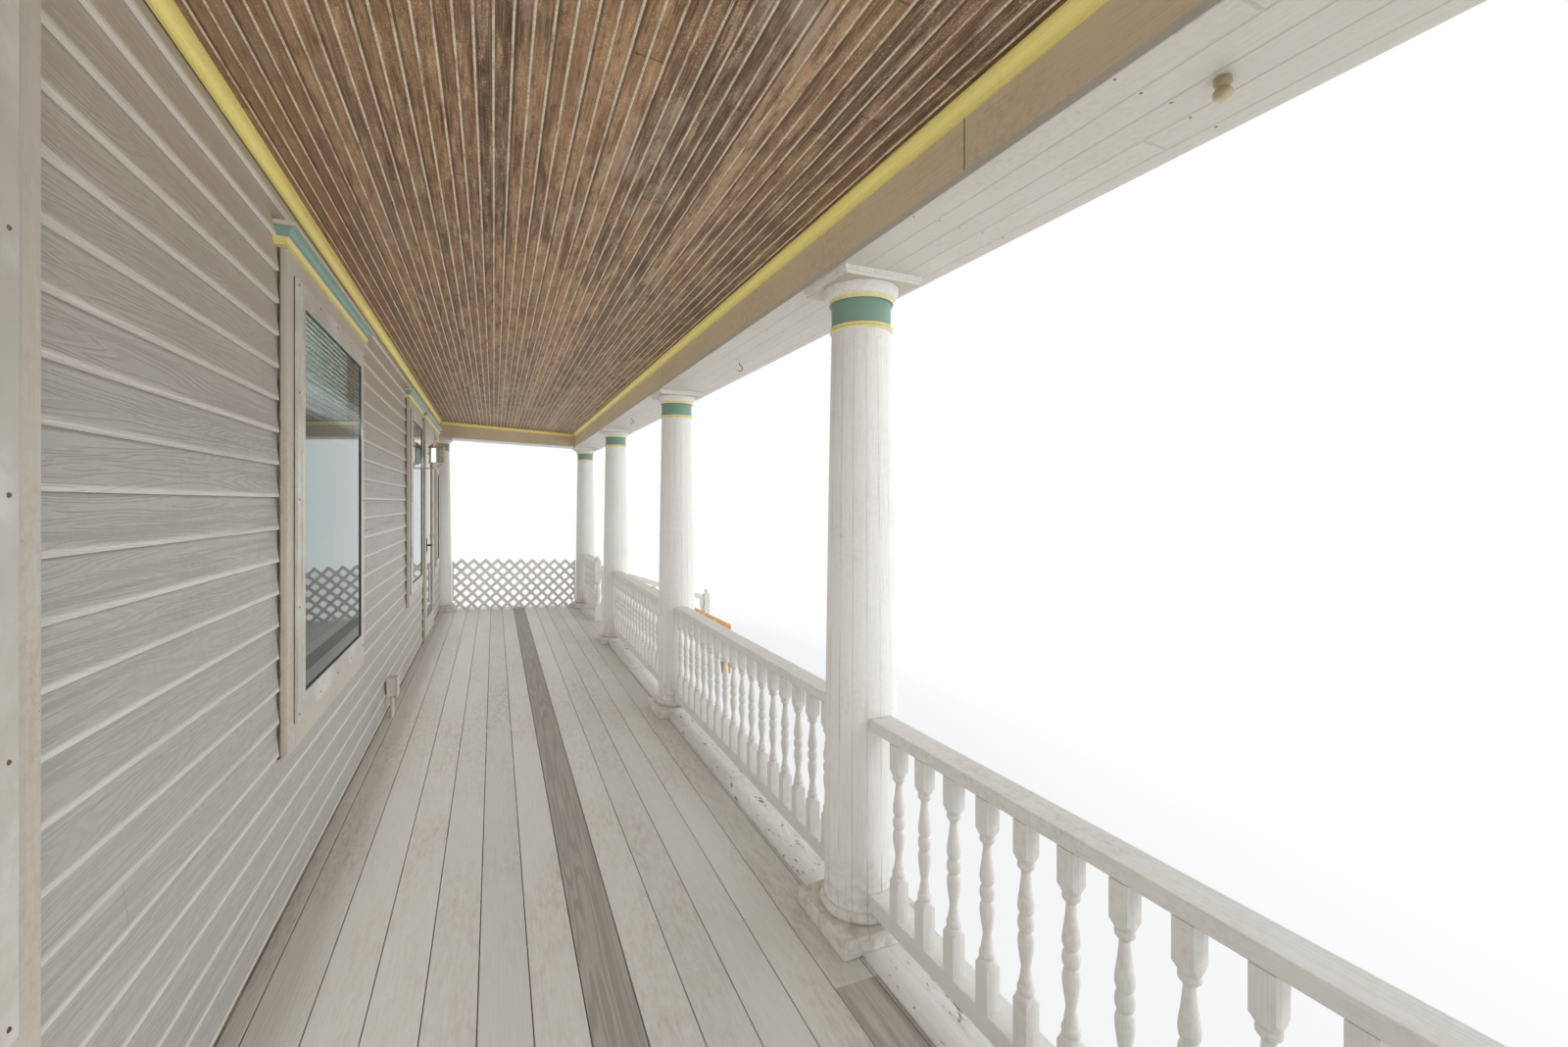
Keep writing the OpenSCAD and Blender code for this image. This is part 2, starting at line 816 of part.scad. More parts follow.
module step_treads() {
    color(floor_paint)
        for (i = [1:tread_count])
            block([step_x0, tread_front(i) - nosing, floor_edge_z - riser_h * i - tread_t],
                  [step_x1, tread_front(i - 1) - 0.3, floor_edge_z - riser_h * i]);
}

/* Lattice */
notch = plinth_w / 2 + 2;
slat_reach = 3000;
edge_strip = 18;
lattice_shift = 16;

// Moves what is drawn on a level floor onto the sloping one, at a distance from the wall
module on_floor(y) {
    translate([0, y, floor_z(y)]) rotate([fall_angle, 0, 0]) children();
}

// The outline over the top crossings: an arc round each, and a notch between two
function scallops(count, step, z) = let (r = slat_w / 2 + 0.5) concat(
    [[-step, -200]],
    [for (i = [-1:count]) each concat(
        [for (a = [135:-30:45]) [i * step + lattice_shift + r * cos(a), z + r * sin(a)]],
        [[(i + 0.5) * step + lattice_shift, z + r * sqrt(2) - step / 2]])],
    [[(count + 0.5) * step + lattice_shift, -200]]
);

// A diamond lattice of two layers of slats, which end in rounded crossings at its top
module lattice(x) {
    y0 = column_line + shaft_r_bottom + 6;
    y1 = -shaft_r_bottom - 6;
    step = slat_pitch * sqrt(2);
    top = lattice_h - slat_w / 2;
    count = ceil((y1 - y0) / step) + 1;
    past = ceil(lattice_h / step) + 1;
    color(white)
        difference() {
            intersection() {
                union() {
                    on_floor(y0)
                        for (i = [-past:count + past]) {
                            slat(x, i * step + lattice_shift, top, 45);
                            slat(x - slat_t, i * step + lattice_shift, top, -45);
                        }
                    // upright edge strips that every slat ends in
                    for (y = [y0, y1 - edge_strip])
                        block([x - slat_t, y, floor_h - 100],
                              [x + slat_t, y + edge_strip, floor_z(y) + lattice_h + 40]);
                }
                on_floor(y0) run_x(x - slat_t, x + slat_t, scallops(count, step, top));
                run_x(x - slat_t, x + slat_t, [
                    [y0, floor_z(y0) + slope_seam], [y1, floor_z(y1) + slope_seam],
                    [y1, floor_z(y1) + lattice_h + 100], [y0, floor_z(y0) + lattice_h + 100]
                ]);
            }
            // notches round the plinths and base rings
            for (y = [column_line, 0])
                block([x - 50, y - notch, floor_h - 100],
                      [x + 50, y + notch, floor_z(y) + shaft_z + 3]);
        }
}

// One long slat through a crossing of the top row
module slat(x, y, z, angle) {
    translate([x, y, z])
        rotate([angle, 0, 0])
            translate([0, -slat_reach, -slat_w / 2])
                cube([slat_t, 2 * slat_reach, slat_w]);
}

/* Windows and door */
// A ring of four boards with hairline joints, in the plane of the wall
module board_frame(x0, x1, z0, z1, w, y0, y1) {
    block([x0, y0, z0], [x0 + w, y1, z1]);
    block([x1 - w, y0, z0], [x1, y1, z1]);
    block([x0 + w + cap_seam, y0, z0], [x1 - w - cap_seam, y1, z0 + w]);
    block([x0 + w + cap_seam, y0, z1 - w], [x1 - w - cap_seam, y1, z1]);
}

module window_casings() {
    color(white)
        for (w = windows)
            board_frame(w[0] - w[1] / 2, w[0] + w[1] / 2, sill_z, head_z, casing_w,
                        -casing_proud, wall_face);
}

// The storm frame is screwed over the inner edges of the casing boards
module storm_windows() {
    color([0.9, 0.9, 0.88])
        for (w = windows)
            board_frame(w[0] - w[1] / 2 + casing_show, w[0] + w[1] / 2 - casing_show,
                        storm_sill_z, head_z - casing_show, storm_w, storm_y, -casing_proud);
}

module window_panes() {
    side = casing_show + storm_w;
    color([0.5, 0.58, 0.62, 0.5])
        for (w = windows)
            block([w[0] - w[1] / 2 + side, storm_y + 3, storm_sill_z + storm_w],
                  [w[0] + w[1] / 2 - side, storm_y + 9, head_z - side]);
}

// A bed mould, a cove and a top edge: how far each line stands out, and its height
function cap_lines() = concat(
    [[26, 0], [26, 0.16], [31, 0.3], [33, 0.36]],
    [for (a = [30:30:90]) [33 + 20 * (1 - cos(a)), 0.36 + 0.42 * sin(a)]],
    [[57, 0.8], [57, 1]]
);

// The lines return at both ends of the cap
module cap(x0, x1, z) {
    lines = cap_lines();
    for (i = [0:len(lines) - 2])
        hull() {
            cap_line(x0, x1, z, lines[i], 0);
            cap_line(x0, x1, z, lines[i + 1], 0.01);
        }
}

module cap_line(x0, x1, z, line, t) {
    block([x0 - line[0] - 8, -line[0], z + cap_h * line[1] - t],
          [x1 + line[0] + 8, wall_face, z + cap_h * line[1] + 0.01 - t]);
}

module opening_caps() {
    color(green) {
        for (w = windows) cap(w[0] - w[1] / 2, w[0] + w[1] / 2, head_z);
        cap(door_x - door_casing_w / 2, door_x + door_casing_w / 2, head_z);
    }
}

// Side boards and a deep head board round the doorway, lining the whole wall
module door_casing() {
    lining = 30;
    color(white) {
        for (side = [0, 1])
            translate([door_x, 0, 0]) mirror([side, 0, 0]) {
                block([door_w / 2, -casing_proud, floor_wall_z + threshold_h],
                      [door_casing_w / 2, wall_face, head_z]);
                block([door_w / 2, wall_face, floor_wall_z + threshold_h],
                      [door_w / 2 + lining, wall_back, door_head_z]);
            }
        block([door_left + cap_seam, -casing_proud, door_head_z],
              [door_right - cap_seam, wall_face, head_z]);
        for (z = hinge_heights())
            for (side = [-1, 1])
                translate([0, 0, z + side * (knuckle_h * 0.75 + 0.5)]) fixed_knuckle();
        block([door_left - lining, wall_face + cap_seam, door_head_z + cap_seam],
              [door_right + lining, wall_back, head_z - casing_lap]);
    }
}

// Half a hinge's fixed leaf, with its knuckle on the pin's line
module fixed_knuckle() {
    translate([door_right, pin_y, -knuckle_h / 4])
        cylinder(r = knuckle_r, h = knuckle_h / 2, $fn = 24);
    block([door_right, -casing_proud - 3, -knuckle_h / 4],
          [door_right + 30, -casing_proud, knuckle_h / 4]);
}

module door_threshold() {
    color(weathered)
        run_x(door_left - casing_lap, door_right + casing_lap, [
            [wall_back, foundation_z], [wall_back, floor_wall_z + threshold_h],
            [wall_face, floor_wall_z + threshold_h], [wall_face, foundation_z]
        ]);
}

knuckle_r = 6;
knuckle_h = 24;
pin_y = -casing_proud - 7;
leaf_x0 = door_left + door_gap;
leaf_x1 = door_right - door_gap;
leaf_z0 = floor_wall_z + threshold_h + 10;
leaf_z1 = door_head_z - door_gap;
leaf_y0 = -casing_proud;
leaf_y1 = leaf_y0 + door_t;

module storm_door() {
    color(white) {
        difference() {
            block([leaf_x0, leaf_y0, leaf_z0], [leaf_x1, leaf_y1, leaf_z1]);
            block([leaf_x0 + door_stile_w, leaf_y0 - 5, leaf_z0 + 180],
                  [leaf_x1 - door_stile_w, leaf_y1 + 5, leaf_z1 - door_stile_w]);
        }
        for (z = hinge_heights()) {
            translate([door_right, pin_y, z - knuckle_h / 2])
                cylinder(r = knuckle_r, h = knuckle_h, $fn = 24);
            block([leaf_x1 - 30, leaf_y0 - 3, z - knuckle_h / 2],
                  [door_right, leaf_y0, z + knuckle_h / 2]);
        }
    }
}

function hinge_heights() = [leaf_z0 + 200, (leaf_z0 + leaf_z1) / 2, leaf_z1 - 200];

module storm_door_pane() {
    color([0.45, 0.52, 0.55, 0.5])
        block([leaf_x0 + door_stile_w, leaf_y0 + 12, leaf_z0 + 180],
              [leaf_x1 - door_stile_w, leaf_y0 + 18, leaf_z1 - door_stile_w]);
}

handle_z = floor_wall_z + 1000;
module storm_door_handle() {
    x = leaf_x0 + door_stile_w / 2;
    color([0.3, 0.28, 0.25]) {
        block([x - 18, leaf_y0 - 6, handle_z - 70], [x + 18, leaf_y0, handle_z + 70]);
        translate([x, leaf_y0 - 6, handle_z])
            rotate([90, 0, 0]) cylinder(r = 9, h = 34);
        translate([x, leaf_y0 - 40, handle_z])
            rotate([0, 90, 0]) cylinder(r = 8, h = 90);
    }
}

/* Fittings */
lantern_x = 2700;
lantern_z = 2531;
lantern_r = 78;
lantern_y = -130;

// Wall plate, scrolled arm, cage and crown of the wall lantern
module lantern() {
    color([0.9, 0.88, 0.8]) {
        translate([lantern_x, wall_face, lantern_z - 60])
            rotate([90, 0, 0]) cylinder(r = 55, h = 26);
        translate([lantern_x - 6, lantern_y, lantern_z - 130])
            cube([12, -lantern_y - 10, 12]);
        block([lantern_x - 6, -26, lantern_z - 130], [lantern_x + 6, -12, lantern_z - 60]);
        translate([lantern_x, lantern_y, lantern_z - 130]) cylinder(r = 14, h = 40);
        translate([lantern_x, lantern_y, lantern_z - 90]) cylinder(r1 = 40, r2 = lantern_r, h = 24);
        for (a = [0:60:300])
            translate([lantern_x, lantern_y, lantern_z - 66]) rotate([0, 0, a])
                translate([lantern_r - 12, -4, 0]) cube([8, 8, 150]);
        translate([lantern_x, lantern_y, lantern_z + 84]) cylinder(r1 = lantern_r + 6, r2 = 30, h = 50);
        translate([lantern_x, lantern_y, lantern_z + 134]) cylinder(r = 12, h = 30);
    }
}

module lantern_glass() {
    color([0.95, 0.93, 0.85, 0.5])
        translate([lantern_x, lantern_y, lantern_z - 66]) cylinder(r = lantern_r - 16, h = 150);
}

outlet_x = 430;
outlet_z = floor_wall_z + 150;
// A weatherproof box with its flip cover, on a pipe up from the floor
module outlet_box() {
    color(white) {
        block([outlet_x - 38, -60, outlet_z], [outlet_x + 38, -6, outlet_z + 120]);
        block([outlet_x - 44, -72, outlet_z - 4], [outlet_x + 44, -60, outlet_z + 126]);
        translate([outlet_x, -33, floor_z(-20) + slope_seam])
            cylinder(r = 13, h = outlet_z - floor_z(-20) - slope_seam);
    }
}

place() foundation_wall();
place() lower_walls();
place() wall_piers();
place() upper_wall();
place() porch_piers();
place() floor_joists();
place() skirt_boards();
place() floor_boards();
place() replaced_floor_board();
place() curb_planks();
place() column_plinths();
place() column_bases();
place() column_shafts();
place() column_capitals();
place() beam_soffits();
place() beam_inner_boards();
place() beam_outer_boards();
place() ceiling();
place() ceiling_mouldings();
place() roof_boards();
place() eave_board();
place() roof_end_panels();
place() handrails();
place() bottom_rails();
place() balusters_of_bay(0);  // balusters_bay_1
place() balusters_of_bay(1);  // balusters_bay_2
place() balusters_of_bay(2);  // balusters_bay_3
place() balusters_of_bay(3);  // balusters_bay_4
place() newel_posts();
place() step_handrail();
place() timber_rail();
place() step_stringers();
place() step_risers();
place() step_treads();
place() lattice(-porch_l / 2);  // lattice_near
place() lattice(porch_l / 2);  // lattice_far
place() window_casings();
place() opening_caps();
place() storm_windows();
place() window_panes();
place() door_casing();
place() door_threshold();
place() storm_door();
place() storm_door_pane();
place() storm_door_handle();
place() lantern();
place() lantern_glass();
place() outlet_box();
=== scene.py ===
# %% [markdown]
# # A sided front porch
#
# The lesson starts from the imported construction model of the porch, which is already in
# metres and in its own place. Everything below either gives one of its parts a finish,
# or adds what a carpenter nails on afterwards: siding, beads, shingles, screws, blinds.

# %% Load the porch
import math
import random
import bmesh
import bpy
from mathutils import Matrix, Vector


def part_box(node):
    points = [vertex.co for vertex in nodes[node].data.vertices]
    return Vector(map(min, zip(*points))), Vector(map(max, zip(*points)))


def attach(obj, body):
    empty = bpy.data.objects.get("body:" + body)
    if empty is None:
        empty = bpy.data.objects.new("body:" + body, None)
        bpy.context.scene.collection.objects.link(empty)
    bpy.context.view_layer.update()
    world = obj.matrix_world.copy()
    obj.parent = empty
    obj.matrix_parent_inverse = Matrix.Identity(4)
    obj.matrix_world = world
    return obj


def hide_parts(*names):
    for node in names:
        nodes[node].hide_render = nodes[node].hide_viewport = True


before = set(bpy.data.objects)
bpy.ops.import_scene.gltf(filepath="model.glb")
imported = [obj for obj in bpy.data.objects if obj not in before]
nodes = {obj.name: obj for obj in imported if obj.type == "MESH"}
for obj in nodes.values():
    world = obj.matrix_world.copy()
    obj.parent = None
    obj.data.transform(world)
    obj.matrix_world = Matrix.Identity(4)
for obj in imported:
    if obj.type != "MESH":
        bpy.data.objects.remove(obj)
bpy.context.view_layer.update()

scene = bpy.context.scene

# %% [markdown]
# ## Sizes that come back
#
# In metres. X runs along the porch, Y from the open side to the house wall, Z upwards.
# What is used only once is written where it is used.

# %% Sizes
bay = 2.54                                   # from one column axis to the next
column_line, column_to_wall = -0.267, 1.867  # the free columns; the half columns behind
exposure, a_siding_row = 0.1085, 2.08        # of the siding; a height where a row starts
floor_at_wall = 0.624
casing_top, cap_height = 2.923, 0.07
beam_edge, beam_board = -0.101, 0.082        # inner edge of the beam, boards under it
bead_pitch = 0.04
windows = [(-3.822, 1.377), (-1.1735, 1.377), (2.005, 1.05), (4.245, 0.56)]  # middle, width
doorway = (2.827, 3.833)
print(len(windows), "windows and a doorway")

# %% [markdown]
# ## A short way to write nodes
#
# Every finish below is a small node tree. Wiring each by hand would hide the idea, so
# this helper adds a node, sets or links its inputs, and gives back its output. The same
# helper serves the shader trees and the geometry trees.


# %% Node helper
class Wiring:
    def __init__(self, tree):
        self.tree = tree

    def add(self, kind, inputs=None, **settings):
        node = self.tree.nodes.new(kind)
        for name, value in settings.items():
            setattr(node, name, value)
        for key, value in (inputs or {}).items():
            socket = node.inputs[key]
            if isinstance(value, bpy.types.NodeSocket):
                self.tree.links.new(value, socket)
            else:
                socket.default_value = value
        return node

    def out(self, kind, inputs=None, **settings):
        return self.add(kind, inputs, **settings).outputs[0]

    def math(self, what, a, b=0.0, clamp=False):
        return self.out("ShaderNodeMath", {0: a, 1: b}, operation=what, use_clamp=clamp)

    def plus(self, a, b):
        return self.math("ADD", a, b)

    def minus(self, a, b):
        return self.math("SUBTRACT", a, b)

    def times(self, a, b):
        return self.math("MULTIPLY", a, b)

    def vector(self, what, a, b=(0, 0, 0)):
        return self.out("ShaderNodeVectorMath", {0: a, 1: b}, operation=what)

    def xyz(self, x=0.0, y=0.0, z=0.0):
        return self.out("ShaderNodeCombineXYZ", {0: x, 1: y, 2: z})

    def parts(self, vector):
        return self.add("ShaderNodeSeparateXYZ", {0: vector}).outputs

    def noise(self, vector, scale, detail=3.0, rough=0.55, warp=0.0, stretch=None):
        if stretch:
            vector = self.vector("MULTIPLY", vector, stretch)
        return self.out("ShaderNodeTexNoise", {
            "Vector": vector, "Scale": scale, "Detail": detail, "Roughness": rough,
            "Distortion": warp})

    def between(self, value, low, high):
        """0 up to the low value, 1 from the high one on, and a smooth rise between."""
        return self.out("ShaderNodeMapRange", {0: value, 1: low, 2: high},
                        interpolation_type="SMOOTHSTEP")

    def blend(self, amount, a, b, how="MIX"):
        return self.add("ShaderNodeMix", {0: amount, 6: a, 7: b}, data_type="RGBA",
                        blend_type=how).outputs[2]

    def layers(self, colour, *rows):
        """Lays colours over each other: each row is (where, how much of it, the colour)."""
        for mask, share, laid in rows:
            colour = self.blend(self.times(mask, share), colour, laid)
        return colour

    def ramp(self, value, stops):
        node = self.add("ShaderNodeValToRGB", {0: value})
        band = node.color_ramp
        while len(band.elements) < len(stops):
            band.elements.new(0.5)
        for element, (place, colour) in zip(band.elements, stops):
            element.position = place
            element.color = colour
        return node.outputs[0]


def paint(red, green, blue):
    """A paint colour as a paint card gives it (0 to 255), turned into Blender's linear one."""
    def linear(c):
        c = c / 255
        return c / 12.92 if c < 0.04045 else ((c + 0.055) / 1.055) ** 2.4
    return (linear(red), linear(green), linear(blue), 1.0)


print("helpers ready")

# %% [markdown]
# ## Node groups and materials
#
# A node group starts with its named inputs and outputs. The kind of each follows from
# the value that it starts with: four numbers are a colour, three a vector, and what has
# no value is a shape. A finish starts empty and ends in one Principled shader.


# %% Start and end of a tree
def sockets(tree, way, names):
    for name, value in names:
        if value is None:
            kind = "Geometry"
        elif isinstance(value, str):
            kind = value
        elif isinstance(value, tuple):
            kind = "Color" if len(value) == 4 else "Vector"
        else:
            kind = "Int" if isinstance(value, int) else "Float"
        socket = tree.interface.new_socket(name, in_out=way, socket_type="NodeSocket" + kind)
        if value is not None and not isinstance(value, str):
            socket.default_value = value


def start_tree(kind, name, inputs, outputs):
    """A new node group, the helper for its nodes, and the sockets of its inputs."""
    tree = bpy.data.node_groups.new(name, kind + "NodeTree")
    sockets(tree, "INPUT", inputs)
    sockets(tree, "OUTPUT", outputs)
    g = Wiring(tree)
    return tree, g, g.add("NodeGroupInput").outputs[:len(inputs)]


def start_finish(name):
    """The helper for a new material's nodes, and each point's place on the porch."""
    material = bpy.data.materials.new(name)
    material.use_nodes = True
    material.node_tree.nodes.clear()
    w = Wiring(material.node_tree)
    w.material = material
    return w, w.add("ShaderNodeTexCoord").outputs["Object"]


def spaced(names):
    """Python names can't hold spaces, so Grime_amount stands for the input Grime amount."""
    return {name.replace("_", " "): value for name, value in names.items()}


def end_finish(w, colour, rough, height=None, strength=0.5, depth=0.001, **more):
    inputs = {"Base Color": colour, "Roughness": rough, **spaced(more)}
    if height is not None:
        inputs["Normal"] = w.out("ShaderNodeBump", {
            "Strength": strength, "Distance": depth, "Height": height})
    shader = w.out("ShaderNodeBsdfPrincipled", inputs)
    w.add("ShaderNodeOutputMaterial", {"Surface": shader})
    return w.material


def group(w, tree, **inputs):
    return w.add("ShaderNodeGroup", spaced(inputs), node_tree=tree).outputs


print("starts and ends ready")

# %% [markdown]
# ## Camera and plain light
#
# The porch is seen from eye height, lengthwise and turned a little to the open side. The
# camera stays level, so that posts stay upright, and a small shift sets the horizon. The
# light is what a product photograph would have: an even white surrounding and big soft
# lamps, weak enough for a colour to come out about as it is written.

# %% Camera
camera_data = bpy.data.cameras.new("camera")
camera_data.lens = 14.4
camera_data.sensor_width = 36
camera_data.clip_start = 0.02
camera_data.clip_end = 200
camera_data.shift_y = -21 / 1600
camera = bpy.data.objects.new("camera", camera_data)
camera.location = (-4.495, 0.945, 2.061)
camera.rotation_euler = (math.radians(90), 0, math.radians(-114.8))
scene.collection.objects.link(camera)
scene.camera = camera
print("camera at", tuple(camera.location))


# %% Surroundings
def looked_at(w):
    """1 for what is seen, straight or in a mirror or through glass; 0 for what lights."""
    rays = w.add("ShaderNodeLightPath").outputs
    by_glass = w.math("MAXIMUM", rays["Is Glossy Ray"], rays["Is Transmission Ray"])
    return w.math("MAXIMUM", rays["Is Camera Ray"], by_glass)


scene.view_settings.view_transform = "Standard"
world = bpy.data.worlds.new("pale surroundings")
scene.world = world
world.use_nodes = True
world.node_tree.nodes.clear()
w = Wiring(world.node_tree)
sky = w.out("ShaderNodeBackground", {"Color": (0.9, 0.95, 1.0, 1), "Strength": 0.76})
backdrop = w.out("ShaderNodeBackground", {"Color": (1, 1, 1, 1)})
either = w.out("ShaderNodeMixShader", {0: looked_at(w), 1: sky, 2: backdrop})
w.add("ShaderNodeOutputWorld", {"Surface": either})
print("pale surroundings")


# %% Lamps
def soft_lamp(name, place, aim, size, power, colour=(1, 1, 1)):
    data = bpy.data.lights.new(name, "AREA")
    data.shape = "RECTANGLE"
    data.size, data.size_y = size
    data.energy = power
    data.color = colour
    lamp = bpy.data.objects.new(name, data)
    lamp.location = place
    lamp.rotation_euler = (Vector(aim) - Vector(place)).to_track_quat("-Z", "Y").to_euler()
    lamp.visible_camera = False
    lamp.visible_glossy = False
    scene.collection.objects.link(lamp)
    return lamp


soft_lamp("open side lamp", (-4.0, -7.5, 6.4), (0, 0.8, 0.9), (13, 3.0), 350, (1, 1, 0.99))
soft_lamp("low lamp", (0, -4.6, 0.5), (0, 0.8, 2.9), (12, 0.9), 92, (0.98, 0.98, 1))
soft_lamp("wall side lamp", (0, 1.5, 1.75), (0, -3, 1.75), (9.6, 2.0), 44, (0.96, 0.98, 1))
soft_lamp("near end lamp", (-9.5, -0.9, 2.1), (-2, -0.3, 1.3), (3.4, 3), 185, (0.98, 0.99, 1))
soft_lamp("far end lamp", (9.0, 0.0, 2.3), (3, 0.7, 1.5), (4, 3), 90)
print("five soft lamps")

# %% [markdown]
# ## A floor for the shadow
#
# The floor is matt and pale where the porch stands, so that it takes a shadow, and
# glows as white as the surroundings further off. Light from the glow reaches the eye
# only: it lights nothing.

# %% Floor
floor_reach = 70
half_length, open_edge = 5.3, -0.45   # past these the floor lies in the open
w, place = start_finish("pale floor")
x, y, z = w.parts(place)
in_the_open = w.math("MAXIMUM", w.math("GREATER_THAN", w.math("ABSOLUTE", x), half_length),
                     w.math("LESS_THAN", y, open_edge))
distance = w.add("ShaderNodeVectorMath", {0: w.vector("MULTIPLY", place, (0.45, 1, 1))},
                 operation="LENGTH").outputs["Value"]
far_off = w.out("ShaderNodeMapRange", {0: distance, 1: 2.1, 2: 4.4})
glowing = w.times(looked_at(w), w.math("MAXIMUM", w.times(in_the_open, 0.6), far_off))
matt = w.out("ShaderNodeBsdfPrincipled", {
    "Base Color": (0.78, 0.78, 0.78, 1), "Roughness": 0.9, "Specular IOR Level": 0.1})
glow = w.out("ShaderNodeEmission", {"Color": (1, 1, 1, 1)})
w.add("ShaderNodeOutputMaterial", {
    "Surface": w.out("ShaderNodeMixShader", {0: glowing, 1: matt, 2: glow})})
ground_mesh = bpy.data.meshes.new("pale floor")
ground_mesh.from_pydata([(a * floor_reach, b * floor_reach, 0) for a, b in (
    (-1, -1), (1, -1), (1, 1), (-1, 1))], [], [(0, 1, 2, 3)])
ground_mesh.materials.append(w.material)
ground = bpy.data.objects.new("pale floor", ground_mesh)
scene.collection.objects.link(ground)
print("a floor", 2 * floor_reach, "m wide")

# %% [markdown]
# ## Effects that several finishes share
#
# Wood on this porch is old and painted many times. Three effects return everywhere:
# the long grain that still prints through the paint, the film of paint itself with its
# grime and chips, and the small difference from one board to the next. Each is a node
# group with named inputs, so that a finish only says how much of it there is.

# %% Long grain
grain_group, g, (position, stretch, ring_count, ring_size) = start_tree("Shader", "long grain", [
    ("Position", (0.0, 0.0, 0.0)), ("Stretch", 0.05), ("Rings", 22.0), ("Ring size", 9.0)],
    [("Grain", 0.0), ("Fibre", 0.0)])
along = g.vector("MULTIPLY", position, g.xyz(stretch, 1.0, 1.0))
swell = g.noise(along, ring_size, 2.0, 0.5, 0.4)
rings = g.math("SINE", g.times(swell, g.times(ring_count, 6.283)))
fine = g.vector("MULTIPLY", position, g.xyz(g.times(stretch, 0.4), 1.0, 1.0))
g.add("NodeGroupOutput", {"Grain": g.plus(g.times(rings, 0.5), 0.5),
                          "Fibre": g.noise(fine, 320.0, 3.0, 0.6)})
print("grain group with", len(grain_group.nodes), "nodes")

# %% Film of old paint
film_group, g, (position, coat, grime, grime_amount, bare, chips, fibre) = start_tree(
    "Shader", "old paint film", [
        ("Position", (0.0, 0.0, 0.0)), ("Paint", paint(220, 214, 203)),
        ("Grime", paint(150, 132, 108)), ("Grime amount", 0.35),
        ("Bare wood", paint(128, 112, 94)), ("Chips", 0.1), ("Fibre", 0.5)],
    [("Colour", (1.0, 1.0, 1.0, 1.0)), ("Roughness", 0.5), ("Height", 0.0)])
cloud = g.noise(position, 2.6, 4.0, 0.6)
speck = g.noise(position, 55.0, 5.0, 0.7)
stain = g.times(g.between(cloud, 0.35, 0.7), g.between(speck, 0.35, 0.75))
coat = g.blend(g.math("MULTIPLY", stain, grime_amount, clamp=True), coat, grime)
coat = g.layers(coat, (g.between(fibre, 0.3, 0.75), 0.14, grime))
flake = g.noise(position, 34.0, 6.0, 0.72, 0.3)
edge = g.minus(0.84, g.times(chips, 0.45))
chip = g.between(g.plus(flake, g.times(cloud, 0.2)), edge, g.plus(edge, 0.02))
g.add("NodeGroupOutput", {
    "Colour": g.blend(chip, coat, bare),
    "Roughness": g.plus(g.plus(g.times(speck, 0.25), g.times(chip, 0.3)), 0.33),
    "Height": g.minus(g.times(fibre, 0.4), chip)})
print("paint film group with", len(film_group.nodes), "nodes")

# %% Board by board
board_group, g, (across, along, pitch, first_edge, length, gap) = start_tree(
    "Shader", "board by board", [
        ("Across", 0.0), ("Along", 0.0), ("Pitch", 0.143), ("First edge", 0.0),
        ("Length", 3.0), ("Gap", 0.004)], [("Tone", 0.0), ("Other tone", 0.0), ("Seam", 0.0)])


def to_edge(share, size):
    """How far a point is from the nearer end of the board or stretch that it lies on."""
    return g.times(g.math("MINIMUM", share, g.minus(1.0, share)), size)


count = g.math("DIVIDE", g.minus(across, first_edge), pitch)
number = g.math("FLOOR", count)
stagger = g.out("ShaderNodeTexWhiteNoise", {"W": number}, noise_dimensions="1D")
run = g.plus(g.math("DIVIDE", along, length), g.times(stagger, 7.0))
stretch = g.math("FLOOR", run)
tone = g.add("ShaderNodeTexWhiteNoise", {"Vector": g.xyz(number, stretch, 0.0)},
             noise_dimensions="3D").outputs
near = g.math("MINIMUM", to_edge(g.minus(count, number), pitch),
              to_edge(g.minus(run, stretch), length))
g.add("NodeGroupOutput", {
    "Tone": tone["Value"], "Other tone": g.parts(tone["Color"])[1],
    "Seam": g.minus(1.0, g.between(near, g.times(gap, 0.4), gap))})
print("board group with", len(board_group.nodes), "nodes")

# %% [markdown]
# ## Painted wood
#
# Nearly every part is painted wood, and differs only in colour, in the way its grain
# runs, in how dirty it is and in whether it is made of boards. One function builds such
# a finish: it turns the position so that the grain runs along the piece, shifts it from
# board to board so that no two boards share a knot, and lays the film of paint over it.


# %% Turning and bands
def turned(w, place, along):
    """The same place, written so that the grain's direction comes first."""
    x, y, z = w.parts(place)
    return {"X": place, "Y": w.xyz(y, x, z), "Z": w.xyz(z, x, y)}[along]


def bands(w, value, colour, steps):
    """A colour that changes at given heights: steps are (height, the colour above it)."""
    for height, above in steps:
        colour = w.blend(w.math("GREATER_THAN", value, height), colour, above)
    return colour


